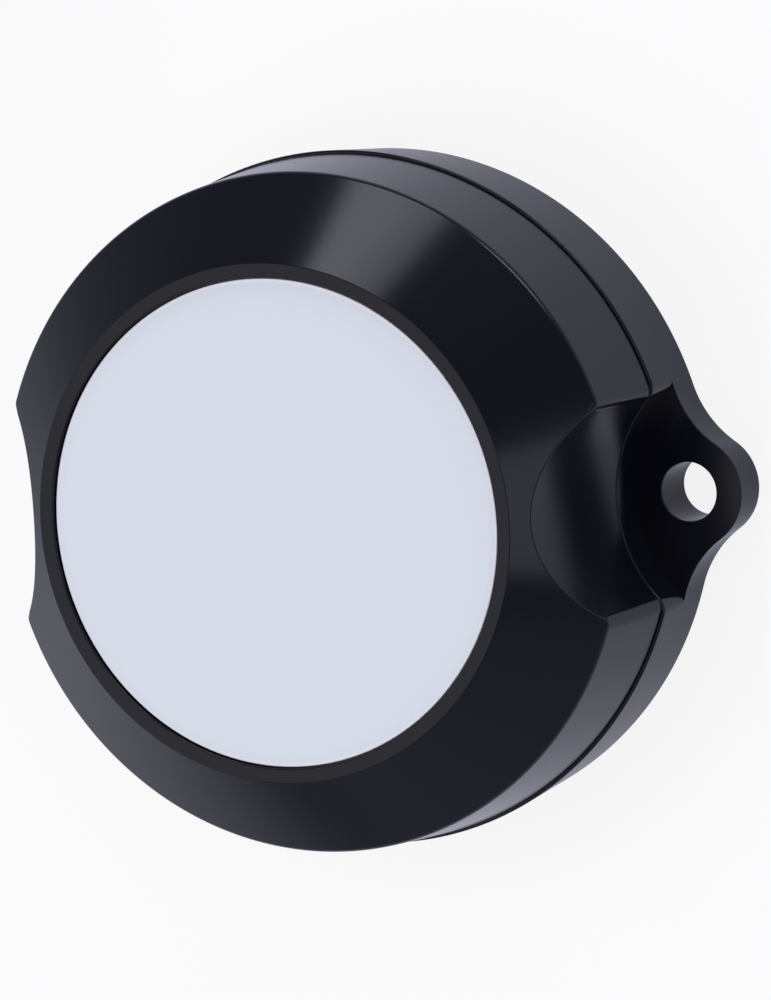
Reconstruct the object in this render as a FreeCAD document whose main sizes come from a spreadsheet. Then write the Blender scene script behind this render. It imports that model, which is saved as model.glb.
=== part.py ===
"""Bluetooth beacon: a round sealed puck with two screw ears, held as separate pieces.

The puck lies on its flat back. The origin is the centre of that back face, +Z points out
of the labelled front, and the two ears lie on the X axis.
"""

import FreeCAD, Part
import math
import os

import Sketcher

SIZES = [
    # Outside of the housing, built outwards from its round bore
    ("overall_height", 22.25, "back face to the front face"),
    ("bore_radius", 18.8, "round bore of the front shell"),
    ("side_width", 6.8, "bore to the widest radius, at the seam"),
    ("face_margin", 0.3, "flat front face beyond the bore"),
    ("bevel_height", 5.85, "height of the front bevel"),
    ("edge_inset", 0.45, "foot of the bevel inside the widest radius"),
    ("edge_rounding", 0.55, "rounding between bevel and wall"),
    ("seam_lip", 0.25, "rear base beyond the shell at the seam"),
    ("lip_rounding", 0.2, "upper edge of that lip"),
    ("back_inset", 0.75, "back face inside the lip"),
    ("seam_height", 8.1, "back face to the seam"),
    ("seam_gap", 0.25, "height of the shadow line at the seam"),
    ("seam_gap_depth", 0.5, "depth of the shadow line"),
    ("outer_wall", 2.0, "housing wall"),
    # Label and its recess
    ("rim_width", 1.05, "flat face round the recess"),
    ("label_thickness", 0.25, "printed disc"),
    ("label_sink", 0.3, "label surface below the front face"),
    ("label_clearance", 0.1, "gap round the label"),
    # Ears and the pockets above them
    ("hole_inset", 0.6, "ear holes inside the widest radius"),
    ("ear_hole_radius", 2.2, "clearance for a 4 mm screw"),
    ("ear_end_radius", 3.86, "round end of an ear at the back face"),
    ("ear_blend_radius", 8.0, "hollow blend from ear to wall"),
    ("ear_thickness", 4.05, "ear and pocket floor above the back face"),
    ("scoop_offset", 6.6, "axis of the scoop beyond the ear hole"),
    ("scoop_wall", 2.2, "shell between bore and scoop, at the seam"),
    ("scoop_flare", 0.77, "how much wider the scoop is at the front than at the seam"),
    ("scoop_overrun", 0.5, "how far the scoop's cutter passes the shell above and below"),
    ("scoop_corner", 1.2, "rounding of the scoop's upright corners"),
    ("pocket_step", 0.2, "ledge of the base inside the scoop"),
    ("pocket_corner", 1.4, "rounding of the upright corners in the base"),
    ("rounding_stop", 0.1, "how far outside the wall the corner roundings end"),
    # Seal between the two halves
    ("collar_clearance", 0.15, "collar of the base inside that bore"),
    ("collar_wall", 1.75, "wall of the collar"),
    ("ring_groove_depth", 1.1, "groove for the seal ring"),
    ("ring_groove_width", 1.8, "groove for the seal ring"),
    ("ring_thickness", 1.5, "height of the squeezed seal ring"),
    ("ring_flat", 0.8, "flats of the squeezed seal ring"),
    ("ring_crown", 0.6, "ends of the squeezed seal ring"),
    # Cored-out spaces that keep the walls even
    ("core_wall", 1.7, "wall between bore and cored space"),
    ("core_angle", 124.0, "sweep of each cored space"),
    ("core_roof", 2.6, "shell above the cored space, measured upright"),
    ("base_floor", 2.0, "floor of the rear base"),
    # Screws that hold the two halves together
    ("boss_radius", 2.6, "screw bosses"),
    ("boss_drop", 1.0, "bosses of the front shell below the foot of the bevel"),
    ("housing_pilot_radius", 0.85, "pilot hole of a housing screw"),
    ("housing_pilot_floor", 0.8, "solid end of a boss beyond its pilot hole"),
    ("housing_hole_radius", 1.2, "clearance hole in the base"),
    ("counterbore_radius", 2.1, "recess of a screw head"),
    ("counterbore_depth", 2.6, "recess of a screw head"),
    ("housing_head_radius", 1.9, "screw head"),
    ("housing_head_height", 1.4, "screw head"),
    ("screw_end_gap", 0.6, "air beyond the tip of each screw"),
    ("thread_gap", 0.02, "shank to pilot hole"),
    # Circuit board and what holds it
    ("board_clearance", 0.6, "circuit board to the bore"),
    ("board_thickness", 1.6, "round circuit board"),
    ("post_root", 0.5, "how far the board posts stand into the collar and the cradle"),
    ("board_pilot_radius", 0.7, "pilot hole of a board screw"),
    ("board_pilot_depth", 6.0, "pilot hole of a board screw"),
    ("board_hole_radius", 0.95, "screw holes of the board"),
    ("board_head_radius", 1.5, "board screw head"),
    ("board_head_height", 1.0, "board screw head"),
    ("insulator_margin", 0.15, "insulating disc beyond the cell"),
    ("insulator_thickness", 0.2, "insulating disc under the board"),
    # Coin cell, its pad and its tabs
    ("cell_radius", 12.25, "coin cell"),
    ("cell_height", 7.7, "coin cell"),
    ("cell_headroom", 0.95, "cell to the board"),
    ("cell_shoulder", 0.35, "height of the cap above the can's rim"),
    ("cell_bevel", 0.45, "bevel round the can"),
    ("cap_inset", 1.95, "negative cap inside the can's radius"),
    ("cap_depth", 0.8, "negative cap, seated part included"),
    ("gasket_width", 0.75, "insulating ring between can and cap"),
    ("foam_inset", 0.65, "foam pad inside the cell's radius"),
    ("foam_thickness", 1.2, "foam pad"),
    ("cradle_clearance", 0.25, "cell to its cradle ring"),
    ("cradle_wall", 1.0, "cradle ring"),
    ("cradle_height", 5.0, "cradle ring above the floor"),
    ("cradle_notch", 4.2, "notch for the positive tab"),
    ("tab_width", 3.0, "welded tabs"),
    ("tab_thickness", 0.15, "welded tabs"),
    ("tab_reach", 6.0, "length of a tab welded to the cell"),
    ("tab_stand", 0.7, "positive tab beyond the cell"),
    ("negative_tab_place", 7.0, "upright part of the negative tab"),
    ("tab_pin_width", 1.2, "soldered end of a tab"),
    ("tab_pin_rise", 0.5, "soldered end above the board"),
    ("tab_slot_gap", 0.15, "slot round a tab"),
    ("assembly_gap", 0.05, "small gap between stacked pieces"),
    # Pieces on the circuit board
    ("chip_side", 6.0, "radio chip"),
    ("chip_height", 0.85, "radio chip"),
    ("chip_place_y", -6.0, "radio chip"),
    ("antenna_length", 7.0, "chip antenna"),
    ("antenna_width", 2.0, "chip antenna"),
    ("antenna_height", 1.2, "chip antenna"),
    ("antenna_inset", 1.9, "middle of the antenna to the rim of the board"),
    ("main_crystal_length", 3.2, "main crystal"),
    ("main_crystal_width", 2.5, "main crystal"),
    ("main_crystal_height", 0.8, "main crystal"),
    ("slow_crystal_length", 3.2, "watch crystal"),
    ("slow_crystal_width", 1.5, "watch crystal"),
    ("slow_crystal_height", 0.9, "watch crystal"),
    ("crystal_gap", 1.4, "crystals beside the radio chip"),
    ("small_part_length", 1.0, "resistors, capacitors and inductors"),
    ("small_part_width", 0.5, "resistors, capacitors and inductors"),
    ("small_part_height", 0.5, "resistors, capacitors and inductors"),
    ("small_part_pitch", 1.3, "distance between small parts in a row"),
    ("small_part_gap", 0.9, "rows of small parts beside the radio chip"),
    ("tank_radius", 2.5, "tank capacitor can"),
    ("tank_headroom", 0.7, "tank capacitor to the shell above it"),
    ("tank_foot_side", 5.3, "foot of the tank capacitor"),
    ("tank_foot_height", 0.7, "foot of the tank capacitor"),
    ("tank_place_x", -8.0, "tank capacitor"),
    ("tank_place_y", 8.0, "tank capacitor"),
    ("reed_radius", 1.0, "glass of the reed switch"),
    ("reed_length", 9.0, "glass of the reed switch, round ends left out"),
    ("reed_rise", 1.3, "axis of the reed switch above the board"),
    ("reed_place_x", 6.0, "middle of the reed switch"),
    ("reed_place_y", 7.0, "middle of the reed switch"),
    ("reed_lead_radius", 0.25, "leads of the reed switch"),
    ("reed_lead_length", 2.2, "leads beyond the glass"),
    ("transistor_length", 2.9, "battery guard transistor"),
    ("transistor_width", 1.3, "battery guard transistor"),
    ("transistor_height", 1.0, "battery guard transistor"),
    ("transistor_place_x", -11.0, "battery guard transistor"),
    ("transistor_place_y", 0.0, "battery guard transistor"),
]

HOUSING_SCREWS = 4
BOARD_SCREWS = 3
EARS = 2

doc = FreeCAD.newDocument("Beacon")
sheet = doc.addObject("Spreadsheet::Sheet", "Sizes")


class Length:
    """A size that keeps its sheet expression and its present value together."""

    def __init__(self, text, value):
        self.text = text
        self.value = value

    def _join(self, sign, other, value):
        return Length("(%s %s %s)" % (self.text, sign, other.text), value)

    def __add__(self, other):
        other = as_length(other)
        return self._join("+", other, self.value + other.value)

    def __sub__(self, other):
        other = as_length(other)
        return self._join("-", other, self.value - other.value)

    def __mul__(self, other):
        other = as_length(other)
        return self._join("*", other, self.value * other.value)

    def __truediv__(self, other):
        other = as_length(other)
        return self._join("/", other, self.value / other.value)

    def __neg__(self):
        return Length("(0 - %s)" % self.text, -self.value)


def as_length(item):
    """Return a plain number as a Length, and a Length as it is."""
    if isinstance(item, Length):
        return item
    return Length(repr(float(item)), float(item))


def arctangent(ratio):
    """Return the angle in degrees whose tangent is the ratio."""
    return Length("atan(%s)" % ratio.text, math.degrees(math.atan(ratio.value)))


def fill_sheet():
    """Write every driving size into the sheet, one row each, and return them by name."""
    sizes = {}
    for row, (alias, value, note) in enumerate(SIZES, start=1):
        sheet.set("A%d" % row, alias)
        sheet.set("B%d" % row, repr(value))
        sheet.set("C%d" % row, note)
        sheet.setAlias("B%d" % row, alias)
        sizes[alias] = Length("Sizes.%s" % alias, value)
    doc.recompute()
    return sizes


S = fill_sheet()
ZERO = as_length(0)

# Radii that several pieces share, from the bore outwards and inwards
SEAM_RADIUS = S["bore_radius"] + S["side_width"]
EDGE_RADIUS = SEAM_RADIUS - S["edge_inset"]
LIP_RADIUS = SEAM_RADIUS + S["seam_lip"]
BACK_RADIUS = LIP_RADIUS - S["back_inset"]
FACE_RADIUS = S["bore_radius"] + S["face_margin"]
RECESS_RADIUS = FACE_RADIUS - S["rim_width"]
LABEL_RADIUS = RECESS_RADIUS - S["label_clearance"]
CORE_RADIUS = S["bore_radius"] + S["core_wall"]
COLLAR_RADIUS = S["bore_radius"] - S["collar_clearance"]
CHAMBER_RADIUS = COLLAR_RADIUS - S["collar_wall"]
GROOVE_RADIUS = COLLAR_RADIUS - S["ring_groove_depth"]
BOARD_RADIUS = S["bore_radius"] - S["board_clearance"]
CRADLE_INSIDE = S["cell_radius"] + S["cradle_clearance"]
POST_RADIUS = (CHAMBER_RADIUS - CRADLE_INSIDE) / 2
POST_CIRCLE = (CHAMBER_RADIUS + CRADLE_INSIDE) / 2 + S["post_root"]
POSITIVE_TAB_PLACE = S["cell_radius"] + S["tab_stand"]

# Places across the puck
HOLE_PLACE = SEAM_RADIUS - S["hole_inset"]
SCOOP_CENTRE = HOLE_PLACE + S["scoop_offset"]
SCOOP_RADIUS = SCOOP_CENTRE - S["bore_radius"] - S["scoop_wall"]
SCREW_PLACE = (S["bore_radius"] + EDGE_RADIUS) / 2 * math.sqrt(0.5)

# Heights, and slopes of the outside
BEVEL_FOOT = S["overall_height"] - S["bevel_height"]
BEVEL_SLOPE = S["bevel_height"] / (EDGE_RADIUS - FACE_RADIUS)
WALL_SLOPE = (SEAM_RADIUS - EDGE_RADIUS) / (BEVEL_FOOT - S["seam_height"])
SCOOP_SLOPE = S["scoop_flare"] / (S["overall_height"] - S["seam_height"])
RELIEF_FOOT = S["seam_height"] + S["seam_gap"]
RECESS_FLOOR = S["overall_height"] - S["label_sink"] - S["label_thickness"]
CEILING = RECESS_FLOOR - S["outer_wall"]
CELL_FOOT = S["base_floor"] + S["foam_thickness"] + S["tab_thickness"]
CELL_TOP = CELL_FOOT + S["cell_height"]
COLLAR_TOP = CELL_TOP + S["cell_headroom"]
RING_HEIGHT = (S["seam_height"] + COLLAR_TOP) / 2
BOARD_TOP = COLLAR_TOP + S["board_thickness"]
TAB_SHOULDER = COLLAR_TOP - S["insulator_thickness"] - S["assembly_gap"]
TAB_TIP = BOARD_TOP + S["tab_pin_rise"]
BOSS_HEIGHT = BEVEL_FOOT - S["boss_drop"] - S["seam_height"]
HOUSING_PILOT_DEPTH = BOSS_HEIGHT - S["housing_pilot_floor"]


def bind(thing, prop, length):
    """Tie one property of a document object to the sheet."""
    thing.setExpression(prop, as_length(length).text)


def bind_place(thing, across, along, up):
    """Tie the place of a document object to the sheet."""
    for axis, length in (("x", across), ("y", along), ("z", up)):
        bind(thing, "Placement.Base.%s" % axis, length)


def pin_point(sketch, curve, point, across, up):
    """Hold one point of a sketch at a place counted from the sketch's origin."""
    for kind, length, axis in (("DistanceX", across, -2), ("DistanceY", up, -1)):
        length = as_length(length)
        if length.text == ZERO.text:
            sketch.addConstraint(Sketcher.Constraint("PointOnObject", curve, point, axis))
            continue
        number = sketch.addConstraint(
            Sketcher.Constraint(kind, -1, 1, curve, point, length.value))
        bind(sketch, "Constraints[%d]" % number, length)


def draw_outline(sketch, corners, rounded=None, radius=None):
    """Draw a closed run of straight lines through corners given as Length pairs.

    The corner numbered by rounded, if one is given, gets an arc of that radius.
    """
    corners = [(as_length(across), as_length(up)) for across, up in corners]
    spots = [FreeCAD.Vector(across.value, up.value, 0) for across, up in corners]
    first = sketch.GeometryCount
    total = len(corners)
    for number in range(total):
        line = Part.LineSegment(spots[number], spots[(number + 1) % total])
        sketch.addGeometry(line, False)
    for number, (across, up) in enumerate(corners):
        before = first + (number - 1) % total
        if number == rounded:
            round_corner(sketch, before, first + number, spots[number], (across, up), radius)
            continue
        sketch.addConstraint(
            Sketcher.Constraint("Coincident", before, 2, first + number, 1))
        pin_point(sketch, first + number, 1, across, up)


def round_corner(sketch, before, after, spot, place, radius):
    """Put an arc between two lines that would meet at a place counted from the origin."""
    lines = [sketch.Geometry[before], sketch.Geometry[after]]
    arms = [(lines[0].StartPoint - spot).normalize(), (lines[1].EndPoint - spot).normalize()]
    half = math.acos(arms[0].dot(arms[1])) / 2
    middle = spot + (arms[0] + arms[1]).normalize() * (radius.value / math.sin(half))
    touches = [spot + arm * (radius.value / math.tan(half)) for arm in arms]
    turn = arms[0].cross(arms[1]).z
    start, finish = touches if turn < 0 else reversed(touches)
    arc = draw_arc(sketch, (middle.x, middle.y), radius, start, finish)
    corner = sketch.addGeometry(Part.Point(spot), True)
    pin_point(sketch, corner, 1, *place)
    sketch.addConstraint(Sketcher.Constraint("PointOnObject", corner, 1, before))
    sketch.addConstraint(Sketcher.Constraint("PointOnObject", corner, 1, after))
    first_end, second_end = (1, 2) if turn < 0 else (2, 1)
    sketch.addConstraint(Sketcher.Constraint("Tangent", before, 2, arc, first_end))
    sketch.addConstraint(Sketcher.Constraint("Tangent", after, 1, arc, second_end))


def draw_circle(sketch, across, along, radius):
    """Draw a circle whose centre and radius follow the sheet."""
    across, along, radius = as_length(across), as_length(along), as_length(radius)
    centre = FreeCAD.Vector(across.value, along.value, 0)
    circle = Part.Circle(centre, FreeCAD.Vector(0, 0, 1), radius.value)
    curve = sketch.addGeometry(circle, False)
    pin_point(sketch, curve, 3, across, along)
    number = sketch.addConstraint(Sketcher.Constraint("Radius", curve, radius.value))
    bind(sketch, "Constraints[%d]" % number, radius)


def draw_rectangle(sketch, across, along, length, width):
    """Draw an upright rectangle about a centre."""
    across, along = as_length(across), as_length(along)
    half_length, half_width = as_length(length) / 2, as_length(width) / 2
    draw_outline(sketch, [
        (across - half_length, along - half_width),
        (across + half_length, along - half_width),
        (across + half_length, along + half_width),
        (across - half_length, along + half_width),
    ])


class Piece:
    """One PartDesign body, built feature by feature."""

    def __init__(self, label):
        self.body = doc.addObject("PartDesign::Body", label)
        self.body.Label = label

    def origin_item(self, role):
        """Return the body's own origin plane or axis with this role."""
        for item in self.body.Origin.OriginFeatures:
            if item.Role == role:
                return item
        raise ValueError(role)

    def sketch(self, name, role="XY_Plane", height=None):
        """Start a sketch on an origin plane, lifted by a height if one is given."""
        sketch = self.body.newObject("Sketcher::SketchObject", name)
        sketch.AttachmentSupport = (self.origin_item(role), [""])
        sketch.MapMode = "FlatFace"
        if height is not None:
            bind(sketch, "AttachmentOffset.Base.z", height)
        return sketch

    def revolve(self, name, corners, rounded=None, radius=None):
        """Turn a closed outline, given as radius and height, round the Z axis."""
        sketch = self.sketch(name + "_outline", "XZ_Plane")
        draw_outline(sketch, corners, rounded, radius)
        feature = self.body.newObject("PartDesign::Revolution", name)
        feature.Profile = sketch
        feature.ReferenceAxis = (sketch, ["V_Axis"])
        feature.Angle = 360.0
        return feature

    def groove(self, name, corners, sweep):
        """Cut a part turn, centred on +Y, out of the body."""
        sketch = self.sketch(name + "_outline", "YZ_Plane")
        draw_outline(sketch, corners)
        feature = self.body.newObject("PartDesign::Groove", name)
        feature.Profile = sketch
        feature.ReferenceAxis = (sketch, ["V_Axis"])
        feature.Midplane = True
        bind(feature, "Angle", sweep)
        return feature

    def pad(self, sketch, name, length, taper=None, midplane=False):
        """Raise a sketch by a length, widening by the taper angle if one is given."""
        feature = self.body.newObject("PartDesign::Pad", name)
        feature.Profile = sketch
        feature.Midplane = midplane
        bind(feature, "Length", length)
        if taper is not None:
            bind(feature, "TaperAngle", taper)
        return feature

    def pocket_up(self, sketch, name, depth):
        """Cut upwards from a sketch, through a known depth."""
        feature = self.body.newObject("PartDesign::Pocket", name)
        feature.Profile = sketch
        feature.Reversed = True
        bind(feature, "Length", depth)
        return feature

    def ring_of(self, features, name, count):
        """Repeat features evenly round the Z axis."""
        doc.recompute()
        pattern = self.body.newObject("PartDesign::PolarPattern", name)
        pattern.Originals = features
        pattern.Axis = (self.origin_item("Z_Axis"), [""])
        pattern.Angle = 360.0
        pattern.Occurrences = count
        self.body.Tip = pattern
        doc.recompute()
        return pattern


def draw_arc(sketch, middle, radius, start, finish):
    """Draw an arc anticlockwise from start to finish and tie its radius to the sheet."""
    centre = FreeCAD.Vector(middle[0], middle[1], 0)
    circle = Part.Circle(centre, FreeCAD.Vector(0, 0, 1), radius.value)
    first = math.atan2(start[1] - middle[1], start[0] - middle[0])
    last = math.atan2(finish[1] - middle[1], finish[0] - middle[0])
    curve = sketch.addGeometry(Part.ArcOfCircle(circle, first, last), False)
    number = sketch.addConstraint(Sketcher.Constraint("Radius", curve, radius.value))
    bind(sketch, "Constraints[%d]" % number, radius)
    return curve


def draw_guide(sketch, radius):
    """Draw a construction circle about the origin that arcs can touch."""
    circle = Part.Circle(FreeCAD.Vector(0, 0, 0), FreeCAD.Vector(0, 0, 1), radius.value)
    guide = sketch.addGeometry(circle, True)
    pin_point(sketch, guide, 3, ZERO, ZERO)
    number = sketch.addConstraint(Sketcher.Constraint("Radius", guide, radius.value))
    bind(sketch, "Constraints[%d]" % number, radius)
    return guide


def draw_run(sketch, spots):
    """Draw straight lines from spot to spot, joined end to end."""
    points = [FreeCAD.Vector(across, along, 0) for across, along in spots]
    lines = [sketch.addGeometry(Part.LineSegment(start, finish), False)
             for start, finish in zip(points, points[1:])]
    for line, following in zip(lines, lines[1:]):
        sketch.addConstraint(Sketcher.Constraint("Coincident", line, 2, following, 1))
    return lines


def close_run(sketch, lines, across):
    """Level the first and last of three lines, and hold the upright one between them."""
    sketch.addConstraint(Sketcher.Constraint("Horizontal", lines[0]))
    sketch.addConstraint(Sketcher.Constraint("Vertical", lines[1]))
    sketch.addConstraint(Sketcher.Constraint("Horizontal", lines[2]))
    number = sketch.addConstraint(
        Sketcher.Constraint("DistanceX", -1, 1, lines[1], 1, across.value))
    bind(sketch, "Constraints[%d]" % number, across)


def circles_meet(distance, near_reach, far_reach):
    """Return where circles about the origin and about (distance, 0) cross, above the axis."""
    across = (near_reach ** 2 - far_reach ** 2 + distance ** 2) / (2 * distance)
    return across, math.sqrt(near_reach ** 2 - across ** 2)


def toward(start, finish, share):
    """Return the point a share of the way from start to finish."""
    return tuple(a + (b - a) * share for a, b in zip(start, finish))


def draw_scoop(sketch, scoop_radius, rounding, wall):
    """Draw the scoop's outline: its arc, a rounded corner each side, and open air beyond."""
    centre = (SCOOP_CENTRE.value, 0.0)
    corner_reach = wall.value - rounding.value
    corner = circles_meet(centre[0], corner_reach, scoop_radius.value + rounding.value)
    on_wall = toward((0.0, 0.0), corner, wall.value / corner_reach)
    on_scoop = toward(centre, corner,
                      scoop_radius.value / (scoop_radius.value + rounding.value))

    def below(spot):
        return spot[0], -spot[1]

    scoop = draw_arc(sketch, centre, scoop_radius, on_scoop, below(on_scoop))
    upper = draw_arc(sketch, corner, rounding, on_scoop, on_wall)
    lower = draw_arc(sketch, below(corner), rounding, below(on_wall), below(on_scoop))
    guide = draw_guide(sketch, wall)
    far = SCOOP_CENTRE.value
    lines = draw_run(sketch, [on_wall, (far, on_wall[1]), (far, -on_wall[1]),
                              below(on_wall)])
    pin_point(sketch, scoop, 3, SCOOP_CENTRE, ZERO)
    sketch.addConstraint(Sketcher.Constraint("Tangent", scoop, 1, upper, 1))
    sketch.addConstraint(Sketcher.Constraint("Tangent", scoop, 2, lower, 2))
    sketch.addConstraint(Sketcher.Constraint("Tangent", upper, 2, guide))
    sketch.addConstraint(Sketcher.Constraint("Tangent", lower, 1, guide))
    sketch.addConstraint(Sketcher.Constraint("Coincident", lines[0], 1, upper, 2))
    sketch.addConstraint(Sketcher.Constraint("Coincident", lines[2], 2, lower, 1))
    close_run(sketch, lines, SCOOP_CENTRE)


def cut_scoops(piece, name, foot, top):
    """Cut the round scoop above each ear, a little wider towards the front."""
    sections = []
    for level, height in (("foot", foot - S["scoop_overrun"]), ("top", top + S["scoop_overrun"])):
        rise = height - S["seam_height"]
        sketch = piece.sketch("%s_%s" % (name, level), height=height)
        draw_scoop(sketch, SCOOP_RADIUS + rise * SCOOP_SLOPE, S["scoop_corner"],
                   SEAM_RADIUS + S["rounding_stop"] - rise * WALL_SLOPE)
        sections.append(sketch)
    cutter = piece.body.newObject("PartDesign::SubtractiveLoft", name)
    cutter.Profile = sections[0]
    cutter.Sections = sections[1:]
    cutter.Ruled = True
    piece.ring_of([cutter], name + "_pair", EARS)


def bevel_height_at(radius):
    """Return the height of the front bevel's surface over a radius."""
    return S["overall_height"] - (radius - FACE_RADIUS) * BEVEL_SLOPE


def screw_sketch(piece, name, radius, height):
    """Sketch one circle at the first corner of the square of housing screws."""
    sketch = piece.sketch(name, height=height)
    draw_circle(sketch, SCREW_PLACE, SCREW_PLACE, radius)
    return sketch


def make_front_shell():
    """Front half: label recess, bevel, wall with two scoops, bore, cored spaces, bosses."""
    piece = Piece("front_shell")
    relief_radius = SEAM_RADIUS - S["seam_gap_depth"]
    relief_edge = SEAM_RADIUS - S["seam_gap"] * WALL_SLOPE
    plate_sketch = piece.sketch("plate_outline", height=CEILING)
    draw_circle(plate_sketch, ZERO, ZERO, RECESS_RADIUS)
    piece.pad(plate_sketch, "plate", S["outer_wall"])
    outline = [
        (LABEL_RADIUS, CEILING),
        (S["bore_radius"], CEILING),
        (S["bore_radius"], S["seam_height"]),
        (relief_radius, S["seam_height"]),
        (relief_radius, RELIEF_FOOT),
        (relief_edge, RELIEF_FOOT),
        (EDGE_RADIUS, BEVEL_FOOT),
        (FACE_RADIUS, S["overall_height"]),
        (RECESS_RADIUS, S["overall_height"]),
        (RECESS_RADIUS, RECESS_FLOOR),
        (LABEL_RADIUS, RECESS_FLOOR),
    ]
    piece.revolve("shell_form", outline, rounded=outline.index((EDGE_RADIUS, BEVEL_FOOT)),
                  radius=S["edge_rounding"])
    cut_scoops(piece, "scoop", S["seam_height"], S["overall_height"])

    core_outer = EDGE_RADIUS - S["outer_wall"]
    core_foot_outer = SEAM_RADIUS - S["outer_wall"]
    core = piece.groove("shell_core", [
        (CORE_RADIUS, S["seam_height"]),
        (core_foot_outer, S["seam_height"]),
        (core_outer, bevel_height_at(core_outer) - S["core_roof"]),
        (CORE_RADIUS, bevel_height_at(CORE_RADIUS) - S["core_roof"]),
    ], S["core_angle"])
    piece.ring_of([core], "shell_cores", EARS)

    boss_sketch = screw_sketch(piece, "shell_boss_outline", S["boss_radius"],
                               S["seam_height"])
    boss = piece.pad(boss_sketch, "shell_boss", BOSS_HEIGHT)
    piece.ring_of([boss], "shell_bosses", HOUSING_SCREWS)
    pilot_sketch = screw_sketch(piece, "shell_pilot_outline", S["housing_pilot_radius"],
                                S["seam_height"])
    pilot = piece.pocket_up(pilot_sketch, "shell_pilot", HOUSING_PILOT_DEPTH)
    piece.ring_of([pilot], "shell_pilots", HOUSING_SCREWS)
    return piece.body


def draw_ear(sketch):
    """Draw one ear: a round end and two hollow arcs that run into the base's wall."""
    wall = BACK_RADIUS
    end = S["ear_end_radius"]
    blend = S["ear_blend_radius"]
    middle = (HOLE_PLACE.value, 0.0)
    blend_middle = circles_meet(middle[0], wall.value + blend.value, end.value + blend.value)
    on_wall = toward((0.0, 0.0), blend_middle, wall.value / (wall.value + blend.value))
    on_end = toward(middle, blend_middle, end.value / (end.value + blend.value))
    root = S["bore_radius"]

    def below(spot):
        return spot[0], -spot[1]

    tip = draw_arc(sketch, middle, end, below(on_end), on_end)
    upper = draw_arc(sketch, blend_middle, blend, on_wall, on_end)
    lower = draw_arc(sketch, below(blend_middle), blend, below(on_end), below(on_wall))
    guide = draw_guide(sketch, wall)
    lines = draw_run(sketch, [on_wall, (root.value, on_wall[1]), (root.value, -on_wall[1]),
                              below(on_wall)])
    pin_point(sketch, tip, 3, HOLE_PLACE, ZERO)
    sketch.addConstraint(Sketcher.Constraint("Tangent", tip, 2, upper, 2))
    sketch.addConstraint(Sketcher.Constraint("Tangent", tip, 1, lower, 1))
    sketch.addConstraint(Sketcher.Constraint("Tangent", upper, 1, guide))
    sketch.addConstraint(Sketcher.Constraint("Tangent", lower, 2, guide))
    sketch.addConstraint(Sketcher.Constraint("Coincident", lines[0], 1, upper, 1))
    sketch.addConstraint(Sketcher.Constraint("Coincident", lines[2], 2, lower, 2))
    close_run(sketch, lines, root)


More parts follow.
